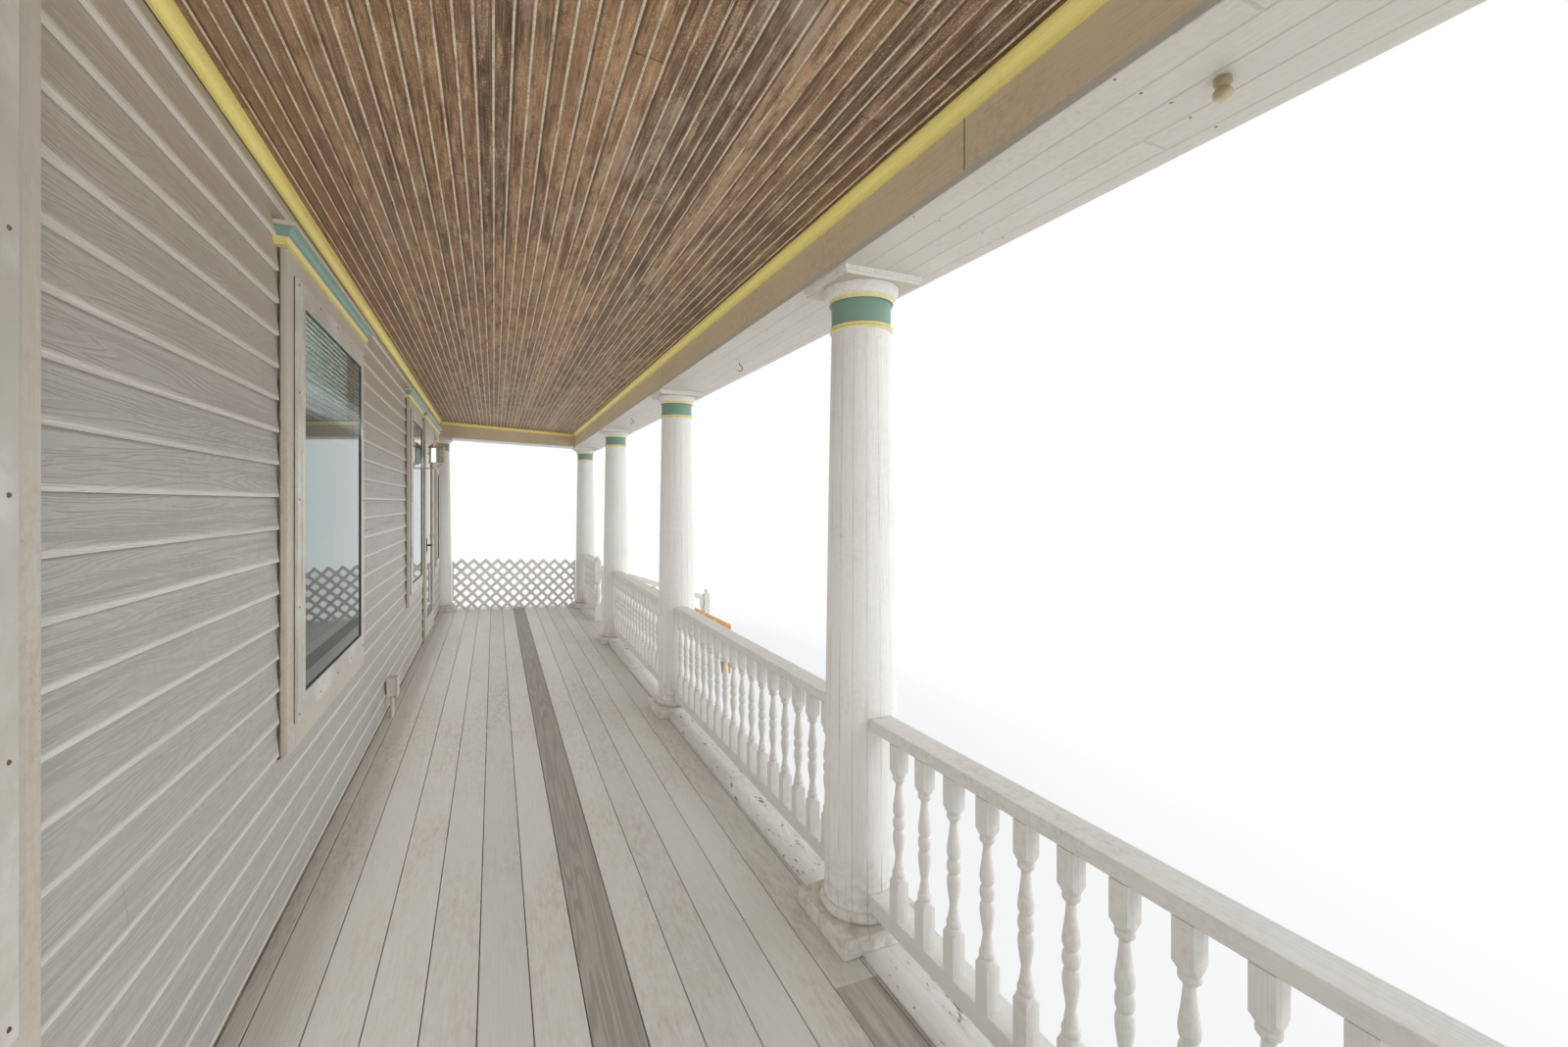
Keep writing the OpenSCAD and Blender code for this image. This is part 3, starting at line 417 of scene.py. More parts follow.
# %% Painted wood
def painted_wood(name, coat, along="X", across=None, pitch=0.14, first=0.0, length=3.2,
                 grime=0.3, chips=0.02, vary=0.08, relief=0.5, seam=0.0,
                 coat_by_place=None, worn_along=1.0):
    w, place = start_finish(name)
    axes = dict(zip("XYZ", w.parts(place)))
    position = turned(w, place, along)
    tone = 0.5
    if across:
        board = group(w, board_group, Across=axes[across], Along=axes[along], Pitch=pitch,
                      First_edge=first, Length=length)
        tone = board["Tone"]
        shift = w.xyz(w.times(tone, 9.0), w.times(board["Other tone"], 5.0), 0.0)
        position = w.vector("ADD", position, shift)
    grain = group(w, grain_group, Position=position)
    colour = coat_by_place(w, axes) if coat_by_place else coat
    wear = place
    if worn_along != 1.0:
        wear = w.vector("MULTIPLY", position, (worn_along, 1.0, 1.0))
    film = group(w, film_group, Position=wear, Paint=colour, Grime_amount=grime, Chips=chips,
                 Fibre=grain["Fibre"])
    shade = w.plus(w.times(tone, vary), 1.0 - vary)
    colour = w.blend(1.0, film["Colour"], w.xyz(shade, shade, shade), "MULTIPLY")
    height = w.plus(film["Height"], w.times(grain["Grain"], 0.35))
    if across and seam:
        colour = w.layers(colour, (board["Seam"], seam, paint(52, 45, 38)))
        height = w.minus(height, w.times(board["Seam"], 2.0))
    return end_finish(w, colour, film["Roughness"], height, relief, 0.0012)


white = paint(231, 229, 224)
white_x = painted_wood("white paint, grain lengthwise", white)
white_y = painted_wood("white paint, grain from wall outwards", white, "Y")
white_z = painted_wood("white paint, grain upright", white, "Z", grime=0.25, chips=0.0)
casing_white = painted_wood("casing paint", paint(205, 198, 186), "Z", grime=0.45, chips=0.12)
plank_paint = painted_wood("peeling plank paint", paint(226, 224, 219), across="Y",
                           pitch=0.095, first=-0.357, grime=0.4, chips=0.28, relief=0.7,
                           worn_along=0.3)
# painted shade and painted warm light from the ceiling: the beam's inner board is drawn beige, as
# its paint looks in the shade under the brown ceiling
beam_paint = painted_wood("beam paint", paint(214, 195, 166), across="Z", pitch=1.0,
                          first=2.4, length=3.05, grime=0.4, vary=0.04, seam=0.6)
# painted shade: the soffit boards are drawn darker than the other white paint, as they look in
# the shade under the beam
soffit_paint = painted_wood("soffit paint", paint(206, 201, 190), across="Y",
                            pitch=beam_board, first=beam_edge, length=3.4, grime=0.25,
                            chips=0.04, vary=0.05, seam=0.16)
moulding_paint = painted_wood("yellow moulding paint", paint(255, 238, 148), grime=0.12)
print("eight kinds of painted wood")


# %% Floor boards
def deck_coat(w, axes):
    """The outermost boards near the camera's end have lost their paint and gone grey."""
    place = w.xyz(w.times(axes["X"], 1.6), w.times(axes["Y"], 46.0), 0.0)
    streak = w.between(w.noise(place, 1.0, 6.0, 0.72), 0.34, 0.66)
    bare = w.blend(streak, paint(200, 195, 186), paint(136, 128, 117))
    outer = w.times(w.math("LESS_THAN", axes["Y"], -0.014),
                    w.math("LESS_THAN", axes["X"], -2.8))
    return w.layers(paint(216, 213, 206), (outer, 0.75, bare))


deck_paint = painted_wood("deck paint", white, across="Y", pitch=-0.143, first=1.559,
                          length=6.0, grime=0.5, chips=0.06, vary=0.12,
                          coat_by_place=deck_coat, worn_along=0.3)
print("deck paint")


# %% Coloured capitals and window caps
def capital_colours(w, axes):
    """Slab and bowl white, fillet yellow, neck green, ring yellow; higher at the wall."""
    lift = w.times(w.math("GREATER_THAN", axes["Y"], 0.7), 0.075)
    yellow, green = paint(240, 226, 158), paint(122, 158, 144)
    return bands(w, w.minus(axes["Z"], lift), white, [
        (2.6725, yellow), (2.6945, green), (2.7755, yellow), (2.7895, white),
        (2.8275, paint(196, 186, 168)), (2.8295, white)])


def cap_colours(w, axes):
    """Yellow bed mould, green cove and a thin white top edge over each opening."""
    return bands(w, axes["Z"], paint(244, 228, 152), [
        (casing_top + 0.36 * cap_height, paint(138, 170, 158)),
        (casing_top + 0.8 * cap_height, paint(220, 214, 200))])


capital_paint = painted_wood("capital paints", white, "Z", grime=0.25, chips=0.03,
                             relief=0.3, coat_by_place=capital_colours)
cap_paint = painted_wood("window cap paints", white, chips=0.05, relief=0.3,
                         coat_by_place=cap_colours)
print("capital and cap paints")

# %% [markdown]
# ## Finishes of their own
#
# Five things need more than the common film of paint. The siding has a deep pressed
# grain with painted shade in its grooves, white paint drawn grey as painted shade, a
# painted highlight along its lower edges and on the faces under them, and a darker line
# just under each lap; columns have upright grain with the hairlines between their staves;
# bare wood has no paint; the brown ceiling boards have worn to many tones; and the beads
# stand proud of them, so they have kept a dusty pale line of old paint.

# %% Embossed siding
w, place = start_finish("siding paint")
x, y, z = w.parts(place)
board = group(w, board_group, Across=z, Along=x, Pitch=exposure, First_edge=a_siding_row,
              Length=3.66)
flat = w.xyz(w.plus(x, w.times(board["Tone"], 9.0)),
             w.plus(z, w.times(board["Other tone"], 5.0)), 0.0)
grain = group(w, grain_group, Position=flat, Stretch=0.06, Rings=24.0, Ring_size=14.0)
# painted shade: the siding's white paint is drawn grey, as it looks in the porch's shade
film = group(w, film_group, Position=place, Paint=paint(183, 181, 177),
             Grime=paint(150, 138, 122), Grime_amount=0.3, Chips=0.0,
             Fibre=grain["Fibre"])
groove = w.between(grain["Grain"], 0.05, 0.6)
rows = w.math("DIVIDE", w.minus(z, a_siding_row), exposure)
part = w.math("FRACT", w.plus(rows, 40.0))
colour = w.layers(
    film["Colour"],
    (w.between(z, 2.15, 2.95), 0.75, paint(186, 174, 154)),                   # high up
    # painted shade in the pressed grooves of the grain
    (w.minus(1.0, groove), 0.14, paint(140, 130, 117)),
    # painted highlight along the lower lip of each board
    (w.minus(1.0, w.between(part, 0.05, 0.16)), 0.62, paint(240, 235, 224)),  # lower lip
    (w.between(part, 0.9, 0.985), 0.6, paint(112, 104, 94)))                  # tucked in
# painted highlight: faces that look down, the undersides of the lips, are drawn near white, as if
# lit from the floor
facing = w.parts(w.add("ShaderNodeNewGeometry").outputs["True Normal"])[2]
under = w.between(w.times(facing, -1.0), 0.4, 0.8)
colour = w.blend(under, colour, paint(255, 251, 242))
height = w.plus(w.times(groove, 0.7), w.times(grain["Fibre"], 0.5))
siding_paint = end_finish(w, colour, film["Roughness"], height, 0.8, 0.0014)
print("siding finish")


# %% Turned columns and their staves
def column_paint(name, coat, grime, chips):
    """Upright grain round each column, with the hairlines between its sixteen staves."""
    w, place = start_finish(name)
    x, y, z = w.parts(place)
    nearest = w.times(w.math("ROUND", w.math("DIVIDE", x, bay)), bay)
    at_wall = w.math("GREATER_THAN", y, 0.7)
    axis = w.plus(w.times(at_wall, column_to_wall), column_line)
    turn = w.math("ARCTAN2", w.minus(y, axis), w.minus(x, nearest))
    number = w.math("DIVIDE", w.plus(turn, 3.1416), 0.3927)
    into = w.math("FRACT", number)
    line = w.math("MINIMUM", into, w.minus(1.0, into))
    wander = w.noise(w.xyz(w.times(z, 0.6), w.math("FLOOR", number), x), 6.0)
    crack = w.times(w.minus(1.0, w.between(line, 0.004, 0.02)), w.between(wander, 0.42, 0.62))
    grain = group(w, grain_group, Position=w.xyz(z, x, y), Ring_size=14.0)
    film = group(w, film_group, Position=place, Paint=coat, Grime_amount=grime, Chips=chips,
                 Fibre=grain["Fibre"])
    low = w.times(w.minus(1.0, w.between(z, 0.66, 0.9)), 0.35)
    dirt = w.times(low, w.between(w.noise(place, 28.0, 5.0), 0.4, 0.7))
    colour = w.blend(dirt, film["Colour"], paint(146, 128, 104))
    colour = w.layers(colour, (crack, 0.75, paint(108, 96, 82)))
    height = w.minus(w.plus(film["Height"], w.times(grain["Grain"], 0.3)),
                     w.times(crack, 1.5))
    return end_finish(w, colour, film["Roughness"], height, 0.8, 0.0015)


shaft_paint = column_paint("column paint", paint(232, 231, 227), 0.15, 0.0)
base_paint = column_paint("column foot paint", paint(224, 221, 214), 0.45, 0.1)
print("column finishes")


# %% Bare and weathered wood
def bare_wood(name, pale, dark, along="X", grey=0.0, relief=0.8):
    w, place = start_finish(name)
    grain = group(w, grain_group, Position=turned(w, place, along), Rings=18.0, Stretch=0.04)
    colour = w.blend(w.between(grain["Grain"], 0.2, 0.95), pale, dark)
    colour = w.layers(
        colour,
        (w.between(grain["Fibre"], 0.35, 0.7), 0.5, dark),
        (w.between(w.noise(place, 3.5, 5.0, 0.65), 0.42, 0.66), grey, paint(152, 148, 142)))
    rough = w.plus(w.times(grain["Fibre"], 0.3), 0.55)
    height = w.plus(w.times(grain["Fibre"], 0.8), w.times(grain["Grain"], 0.4))
    return end_finish(w, colour, rough, height, relief, 0.0015)


grey_board = bare_wood("weathered board", paint(170, 164, 155), paint(150, 144, 135),
                       grey=0.5, relief=0.6)
new_timber = bare_wood("new bare timber", paint(222, 184, 118), paint(186, 138, 78), "Y",
                       relief=0.3)
old_joist = bare_wood("old joist wood", paint(134, 116, 94), paint(98, 82, 64), "Y", grey=0.3)
sheathing = bare_wood("wall sheathing", paint(132, 120, 100), paint(98, 88, 72), grey=0.2)
print("four kinds of bare wood")

# %% Ceiling boards
w, place = start_finish("ceiling stain")
x, y, z = w.parts(place)
board = group(w, board_group, Across=y, Along=x, Pitch=2 * bead_pitch, First_edge=0.02,
              Length=2.9)
half = group(w, board_group, Across=y, Along=x, Pitch=bead_pitch, First_edge=0.02,
             Length=5.7)
shift = w.xyz(w.times(board["Tone"], 8.0), w.times(board["Other tone"], 6.0), 0.0)
grain = group(w, grain_group, Position=w.vector("ADD", place, shift), Stretch=0.04,
              Rings=14.0)
streaks = w.noise(place, 3.2, 6.0, 0.7, 0.3, stretch=(1.6, 13.0, 13.0))
rubbed = w.noise(place, 1.1, 3.0, 0.6, stretch=(0.7, 1.6, 1.6))
mottle = w.noise(place, 62.0, 5.0, 0.75, stretch=(0.5, 1.0, 1.0))
greyed = w.noise(place, 2.3, 6.0, 0.75, stretch=(0.8, 2.2, 2.2))
dust = w.times(w.between(w.noise(place, 240.0, 4.0, 0.7), 0.54, 0.62),
               w.between(streaks, 0.42, 0.58))
stain = w.ramp(board["Tone"], [
    (0.0, paint(98, 66, 40)), (0.4, paint(128, 92, 58)),
    (0.78, paint(150, 110, 72)), (1.0, paint(186, 148, 110))])
stain = w.layers(
    stain,
    (half["Tone"], 0.3, paint(96, 72, 54)),
    (w.between(streaks, 0.52, 0.40), 0.75, paint(82, 54, 34)),
    (w.between(streaks, 0.54, 0.66), 0.8, paint(186, 150, 112)),
    (w.between(rubbed, 0.5, 0.66), 0.5, paint(176, 136, 94)),
    (w.between(mottle, 0.5, 0.66), 0.6, paint(76, 50, 34)),
    (w.between(y, 1.1, 1.62), 0.5, paint(176, 136, 104)),          # paler by the wall
    (w.between(greyed, 0.54, 0.66), 0.5, paint(172, 152, 136)),
    (dust, 0.65, paint(214, 192, 164)),
    (w.between(grain["Fibre"], 0.4, 0.7), 0.35, paint(190, 166, 138)),
    (board["Seam"], 0.6, paint(56, 42, 32)))
rough = w.plus(w.times(mottle, 0.3), 0.5)
height = w.plus(grain["Fibre"], w.times(mottle, 0.5))
ceiling_stain = end_finish(w, stain, rough, height, 0.6, 0.001)
print("ceiling stain with", len(w.tree.nodes), "nodes")

# %% Beads of the ceiling
w, place = start_finish("worn bead")
patch = w.between(w.noise(place, 6.0, 6.0, 0.78, stretch=(1.4, 9.0, 9.0)), 0.34, 0.52)
fleck = w.between(w.noise(place, 160.0, 3.0, 0.6), 0.42, 0.62)
colour = w.blend(patch, paint(158, 128, 98), paint(226, 210, 184))
colour = w.layers(colour, (fleck, 0.3, paint(98, 76, 56)))
worn_bead = end_finish(w, colour, w.plus(w.times(fleck, 0.2), 0.55), fleck, 0.3, 0.0005)
print("bead finish")


# %% Masonry, roofing, metal and plastic
def rough_stuff(name, pale, dark, scale, rough, strength, depth, metal=0.0, pits=0.5):
    """A finish made of clouds and specks, for what has no grain."""
    w, place = start_finish(name)
    cloud = w.noise(place, scale * 0.12, 4.0, 0.6)
    speck = w.noise(place, scale, 5.0, 0.65)
    colour = w.blend(w.between(cloud, 0.35, 0.65), paint(*pale), paint(*dark))
    colour = w.layers(colour, (w.between(speck, 0.45, 0.7), pits, paint(*dark)))
    roughness = w.plus(w.times(speck, 0.25), rough)
    return end_finish(w, colour, roughness, speck, strength, depth, Metallic=metal)


masonry = rough_stuff("foundation masonry", (158, 152, 142), (120, 114, 105), 45, 0.65,
                      0.7, 0.004)
roofing = rough_stuff("shingle grit", (98, 95, 92), (62, 60, 58), 420, 0.7, 0.8, 0.002,
                      pits=0.8)
white_metal = rough_stuff("white enamelled metal", (214, 212, 204), (190, 186, 176), 30,
                          0.25, 0.1, 0.0005)
cream_metal = rough_stuff("cream enamelled metal", (206, 198, 176), (160, 150, 124), 60,
                          0.3, 0.15, 0.0005)
dark_metal = rough_stuff("dark bronze", (74, 66, 58), (42, 36, 30), 80, 0.25, 0.15, 0.0005,
                         0.9)
rust = rough_stuff("rusty steel", (150, 128, 104), (104, 82, 62), 300, 0.5, 0.4, 0.0005, 0.4)
caulk = rough_stuff("old caulk", (112, 102, 78), (70, 62, 46), 90, 0.6, 0.5, 0.001)
plastic = rough_stuff("white plastic", (226, 224, 216), (204, 198, 186), 40, 0.3, 0.1,
                      0.0004)
gasket = rough_stuff("grey gasket", (92, 94, 94), (66, 67, 68), 200, 0.5, 0.2, 0.0004)
porcelain = rough_stuff("old porcelain", (196, 182, 150), (150, 134, 104), 120, 0.2, 0.2,
                        0.0005)
slat_plastic = rough_stuff("blind slats", (204, 208, 192), (180, 186, 172), 20, 0.35, 0.05,
                           0.0004)
print("eleven finishes without grain")


# %% Glass
def glass_finish(name, tint, rough=0.004, through=0.85):
    w, place = start_finish(name)
    film = w.noise(place, 9.0, 5.0, 0.6)
    smear = w.plus(w.times(w.between(film, 0.5, 0.8), 0.03), rough)
    colour = w.layers(tint, (w.between(film, 0.4, 0.8), 0.1, paint(176, 180, 178)))
    return end_finish(w, colour, smear, Transmission_Weight=through, IOR=1.45)


window_glass = glass_finish("window glass", paint(138, 156, 158))
door_glass = glass_finish("door glass", paint(84, 90, 90), through=0.3)
# painted shade: the inner pane's dark tint stands for the dark room behind the window
inner_glass = glass_finish("inner window glass", paint(92, 110, 118), 0.06, 0.2)
lamp_glass = glass_finish("lantern glass", paint(196, 196, 184), 0.1)
print(len(bpy.data.materials), "finishes in all")

# %% [markdown]
# ## Finishes on the construction parts
#
# A construction part whose shape is already right only needs its finish. The table says
# which parts get which. Parts that get a softened or more detailed copy further down
# keep their entry here too, because the copy takes its finish from the same table.

# %% Which part gets which finish
finish_of = {part: finish for finish, parts in (
    (masonry, "foundation_wall porch_piers"),
    (sheathing, "lower_walls wall_piers upper_wall"),
    (old_joist, "floor_joists"),
    (deck_paint, "floor_boards step_treads"),
    (grey_board, "replaced_floor_board door_threshold"),
    (plank_paint, "curb_planks"),
    (base_paint, "column_plinths column_bases"),
    (shaft_paint, "column_shafts"),
    (capital_paint, "column_capitals"),
    (soffit_paint, "beam_soffits"),
    (beam_paint, "beam_inner_boards"),
    (ceiling_stain, "ceiling"),
    (moulding_paint, "ceiling_mouldings"),
    (roofing, "roof_boards"),
    (white_x, "skirt_boards beam_outer_boards eave_board roof_end_panels handrails"
              " bottom_rails step_risers"),
    (white_y, "step_handrail step_stringers lattice_near lattice_far"),
    (white_z, "balusters_bay_1 balusters_bay_2 balusters_bay_3 balusters_bay_4 newel_posts"),
    (new_timber, "timber_rail"),
    (casing_white, "window_casings door_casing"),
    (cap_paint, "opening_caps"),
    (white_metal, "storm_windows storm_door"),
    (window_glass, "window_panes"),
    (door_glass, "storm_door_pane"),
    (dark_metal, "storm_door_handle"),
    (cream_metal, "lantern"),
    (lamp_glass, "lantern_glass"),
    (plastic, "outlet_box")) for part in parts.split()}
for name, obj in nodes.items():
    if not obj.material_slots:
        obj.data.materials.append(None)
    for place in obj.material_slots:
        place.material = finish_of[name]
print("finished", len(finish_of), "parts; missing:", sorted(set(nodes) - set(finish_of)))

# %% [markdown]
# ## Boards in rows
#
# Siding, ceiling beads, shingles and blind slats are the same thing at different sizes:
# a strip, thicker at one edge, set down again and again. Geometry Nodes do that well.
# The tree draws one strip one metre long, shapes it by its inputs, and puts a copy on
# every point that it is given, stretched to that point's own length.


# %% The tree for rows of boards
def end_tree(g, shape, finish, points=None, **placed):
    """Where there are points, a copy on each; then all is made real and gets its finish."""
    if points is not None:
        shape = g.out("GeometryNodeInstanceOnPoints", {
            "Points": points, "Instance": shape, **placed})
    real = g.out("GeometryNodeRealizeInstances", {"Geometry": shape})
    g.add("NodeGroupOutput", {0: g.out("GeometryNodeSetMaterial", {
        "Geometry": real, "Material": finish})})


def tilted(g, tilt):
    return g.out("FunctionNodeEulerToRotation", {0: g.xyz(tilt, 0.0, 0.0)})


rows_tree, g, (points, rise, lower, upper, roundness, steps, tilt, finish) = start_tree(
    "Geometry", "rows of boards", [
        ("Points", None), ("Rise", 0.1), ("Lower edge", 0.012), ("Upper edge", 0.004),
        ("Roundness", 0.0), ("Steps", 2), ("Tilt", 0.0), ("Finish", "Material")],
    [("Boards", None)])
strip = g.out("GeometryNodeMeshCube", {"Size": (1, 1, 1), "Vertices Z": steps})
x, y, z = g.parts(g.out("GeometryNodeInputPosition"))
height = g.plus(z, 0.5)
taper = g.plus(lower, g.times(height, g.minus(upper, lower)))
off = g.times(z, 2.0)
arc = g.math("SQRT", g.math("MAXIMUM", g.minus(1.0, g.times(off, off)), 0.0))
plump = g.plus(g.minus(1.0, roundness), g.times(roundness, arc))
front = g.times(g.times(taper, plump), g.minus(y, 0.5))
shaped = g.out("GeometryNodeSetPosition", {
    "Geometry": strip, "Position": g.xyz(x, front, g.times(height, rise))})
length = g.out("GeometryNodeInputNamedAttribute", {"Name": "length"}, data_type="FLOAT")
end_tree(g, shaped, finish, points, Rotation=tilted(g, tilt), Scale=g.xyz(length, 1.0, 1.0))
print("row tree with", len(rows_tree.nodes), "nodes")

# %% [markdown]
# ## From a mesh to a piece
#
# A piece is grown by a tree from points, or built face by face. Either way it ends as a
# named object that rides on the porch.


# %% Pieces
def keep_piece(name, mesh):
    piece = bpy.data.objects.new(name, mesh)
    scene.collection.objects.link(piece)
    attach(piece, "porch")
    print(name, "-", len(mesh.polygons), "faces")
    return piece


def grow(name, tree, points, finish, slot, lengths=None, edges=(), **sizes):
    mesh = bpy.data.meshes.new(name + " points")
    mesh.from_pydata(points, list(edges), [])
    if lengths is not None:
        mesh.attributes.new("length", "FLOAT", "POINT").data.foreach_set("value", lengths)
    seed = bpy.data.objects.new(name + " points", mesh)
    scene.collection.objects.link(seed)
    steps = seed.modifiers.new("rows", "NODES")
    steps.node_group = tree
    given = {**spaced(sizes), "Finish": finish}
    for item in tree.interface.items_tree:
        if item.in_out == "INPUT" and item.name in given:
            steps[item.identifier] = given[item.name]
    depsgraph = bpy.context.evaluated_depsgraph_get()
    grown = bpy.data.meshes.new_from_object(seed.evaluated_get(depsgraph), depsgraph=depsgraph)
    bpy.data.objects.remove(seed)
    return keep_piece(name, grown)


def show(name, bm, finish, smooth=False, turn_outwards=True):
    """Turns a mesh in the making into a piece of the porch."""
    if turn_outwards:
        bmesh.ops.recalc_face_normals(bm, faces=bm.faces)
    mesh = bpy.data.meshes.new(name)
    bm.to_mesh(mesh)
    bm.free()
    mesh.materials.append(finish)
    for face in mesh.polygons:
        face.use_smooth = smooth
    return keep_piece(name, mesh)


print("ready to make pieces")

# %% [markdown]
# ## Siding
#
# The house is covered with embossed lap boards, 108.5 mm to the weather. Each board is
# thick at its lower edge, which catches the light as a bright line, made brighter by a
# painted highlight, and thin at the top, where the next one laps it. The rows stop 6 mm
# short of the window and door casings, which leaves the dark line that real siding has
# there. Rows are worked out in plain Python, because they have to step round the
# openings, and the tree does the rest.


# %% Siding rows round the openings
def sides(window, inset=0.0):
    """The two edges of a window, moved inwards."""
    middle, width = window
    return middle - width / 2 + inset, middle + width / 2 - inset


siding_gap, least_overlap = 0.006, 0.04
wall_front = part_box("wall_piers")[0][1]
wall_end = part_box("upper_wall")[1][0]
opening_spans = [(low, high, 1.199, casing_top)
                 for low, high in (sides(window, -siding_gap) for window in windows)]
opening_spans.append((doorway[0] - siding_gap, doorway[1] + siding_gap, 0.0, casing_top))


def row_intervals(low, high):
    """The stretches of one row that no opening, floor or roof end interrupts."""
    spans = [(-wall_end, wall_end)]
    if high < floor_at_wall + 0.05:
        spans = [(-wall_end, -5.262), (5.262, wall_end)]
    elif 3.16 < low < 3.6:
        spans = [(-wall_end, -5.30), (5.30, wall_end)]
    for x0, x1, z0, z1 in opening_spans:
        if min(high, z1) - max(low, z0) > least_overlap:
            spans = [s for a, b in spans for s in ((a, min(b, x0)), (max(a, x1), b))
                     if s[1] - s[0] > 0.01]
    return spans


def siding(name, starts, high):
    """Boards 3.66 m long in rows that start at the given heights, with scattered joints."""
    points, lengths = [], []
    dice = random.Random(7)
    for z in starts:
        joints = [-9 + dice.uniform(0, 3.6) + 3.66 * j for j in range(6)]
        for a, b in row_intervals(z, z + high):
            cuts = [a] + [j for j in joints if a + 0.2 < j < b - 0.2] + [b]
            for start, stop in zip(cuts, cuts[1:]):
                points.append(((start + stop) / 2, wall_front, z))
                lengths.append(stop - start - 0.0012)
    return grow(name, rows_tree, points, siding_paint, "wall_paint", lengths, Rise=high + 0.004,
                Lower_edge=0.0138, Upper_edge=0.002, Steps=2)


foundation_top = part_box("foundation_wall")[1][2]
lowest = math.ceil((foundation_top - a_siding_row) / exposure)
siding("siding", [a_siding_row + k * exposure for k in range(lowest, 14)], exposure)
siding("siding_starter", [floor_at_wall], 0.6695 - floor_at_wall)
above_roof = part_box("roof_boards")[1][2] + 0.006
siding("siding_above_roof", [above_roof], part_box("upper_wall")[1][2] - above_roof - 0.006)

# %% [markdown]
# ## Beaded ceiling
#
# The ceiling is matched boards with a bead every 40 mm. The boards are one flat part,
# so the beads are laid on it as thin rounded strips, each with the worn pale line that
# shows on the real ones. The same tree makes them: a small rise, a high roundness, and
# a tilt of a quarter turn plus the slope of the ceiling.

# %% Beads
slope = math.atan(97 / 1701)
ceiling_at_beam = 3.038
bead_points = []
y = 1.59
while y > -0.09:
    bead_points.append((0.0, y, ceiling_at_beam + (y - beam_edge) * math.tan(slope)))
    y -= bead_pitch
ceiling_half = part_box("ceiling")[1][0] - 0.022
grow("ceiling_beads", rows_tree, bead_points, worn_bead, "ceiling_boards",
     [2 * ceiling_half] * len(bead_points), Rise=0.0062, Lower_edge=0.003, Upper_edge=0.003,
     Roundness=1.0, Steps=6, Tilt=math.radians(90) + slope)

# %% [markdown]
# ## Shingles
#
# The roof isn't seen from the porch, but the model is looked at from above too. Three
# hundred millimetre tabs in staggered courses are enough: thick at the butt, thin under
# the next course, a little gap between two.

# %% Shingle courses
(roof_x0, roof_y0, _), (roof_x1, roof_y1, roof_z1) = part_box("roof_boards")
pitch, courses, tab, margin = math.radians(14), 18, 0.3, 0.01
run = (roof_y1 - roof_y0 - 0.004) / math.cos(pitch)
top_at_eave = roof_z1 - (roof_y1 - roof_y0) * math.tan(pitch)
shingle_points, shingle_lengths = [], []
for row in range(courses):
    up = row * run / courses
    edge = roof_x0 + margin - (row % 2) * tab / 2
    while edge < roof_x1 - margin:
        a, b = max(edge, roof_x0 + margin), min(edge + tab, roof_x1 - margin)
        if b - a > 0.02:
            shingle_points.append(((a + b) / 2, roof_y0 + up * math.cos(pitch),
                                   top_at_eave + up * math.sin(pitch)))
            shingle_lengths.append(b - a - 0.004)
        edge += tab
grow("shingles", rows_tree, shingle_points, roofing, "roofing", shingle_lengths,
     Rise=run / courses, Lower_edge=0.007, Upper_edge=0.0015, Steps=2,
     Tilt=pitch - math.radians(90))

# %% [markdown]
# ## Windows
#
# Each window has an aluminium storm frame screwed over the casing. Behind its glass hangs
# a blind, with a pale rail under it, and round the glass runs a dark rubber gasket. The
# blind is a row of slats again; frames are mitred strips, built corner by corner.


# %% Mitred frames
def frame_ring(bm, x0, x1, z0, z1, width, y_front, y_back, chamfer):
    """Four mitred strips round an opening, flat at the back, chamfered at the front."""
    def ring(inset, y):
        return [bm.verts.new(p) for p in (
            (x0 + inset, y, z0 + inset), (x1 - inset, y, z0 + inset),
            (x1 - inset, y, z1 - inset), (x0 + inset, y, z1 - inset))]
    loops = [ring(0, y_back), ring(0, y_front + chamfer), ring(chamfer, y_front),
             ring(width - chamfer, y_front), ring(width, y_front + chamfer),
             ring(width, y_back)]
    for inner, outer in zip(loops, loops[1:] + loops[:1]):
        for i in range(4):
            j = (i + 1) % 4
            bm.faces.new((inner[i], inner[j], outer[j], outer[i]))


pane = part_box("window_panes")
sashes, gaskets = bmesh.new(), bmesh.new()
for window in windows:
    x0, x1 = sides(window, 0.162)
    z0, z1 = pane[0][2], pane[1][2]
    for bm, out, width, y_front, y_back, chamfer in (
            (sashes, 0.038, 0.036, 1.5655, 1.5695, 0.0012),
            (gaskets, 0.003, 0.007, 1.5665, 1.5725, 0.001)):
        frame_ring(bm, x0 - out, x1 + out, z0 - out, z1 + out, width, y_front, y_back, chamfer)
show("storm_sashes", sashes, white_metal)
show("storm_gaskets", gaskets, gasket)

# %% Blinds, and the meeting rail of the window behind
slat_pitch, blind_top, blind_foot = 0.0215, 2.80, 2.44
slat_points, slat_lengths = [], []
for middle, width in windows:
    z = blind_top
    while z > blind_foot:
        slat_points.append((middle, 1.63, z))
        slat_lengths.append(width - 0.3)
        z -= slat_pitch
grow("blind_slats", rows_tree, slat_points, slat_plastic, "white_plastic", slat_lengths,
     Rise=0.024, Lower_edge=0.0008, Upper_edge=0.0008, Steps=2, Tilt=math.radians(-22))
grow("blind_rails", rows_tree, [(middle, 1.632, 2.425) for middle, width in windows], plastic,
     "white_plastic", [width - 0.3 for middle, width in windows], Rise=0.014,
     Lower_edge=0.012, Upper_edge=0.012, Roundness=0.4, Steps=6)
grow("meeting_rails", rows_tree, [(middle, 1.64, 2.352) for middle, width in windows],
     casing_white, "white_paint", [width - 0.17 for middle, width in windows], Rise=0.068,
     Lower_edge=0.014, Upper_edge=0.012, Steps=2)
for middle, width in windows:
    lamp = soft_lamp("lamp for a blind", (middle, 1.592, 2.62), (middle, 1.7, 2.6),
                     (width - 0.34, 0.42), 4.5 * width)
    lamp.visible_transmission = False
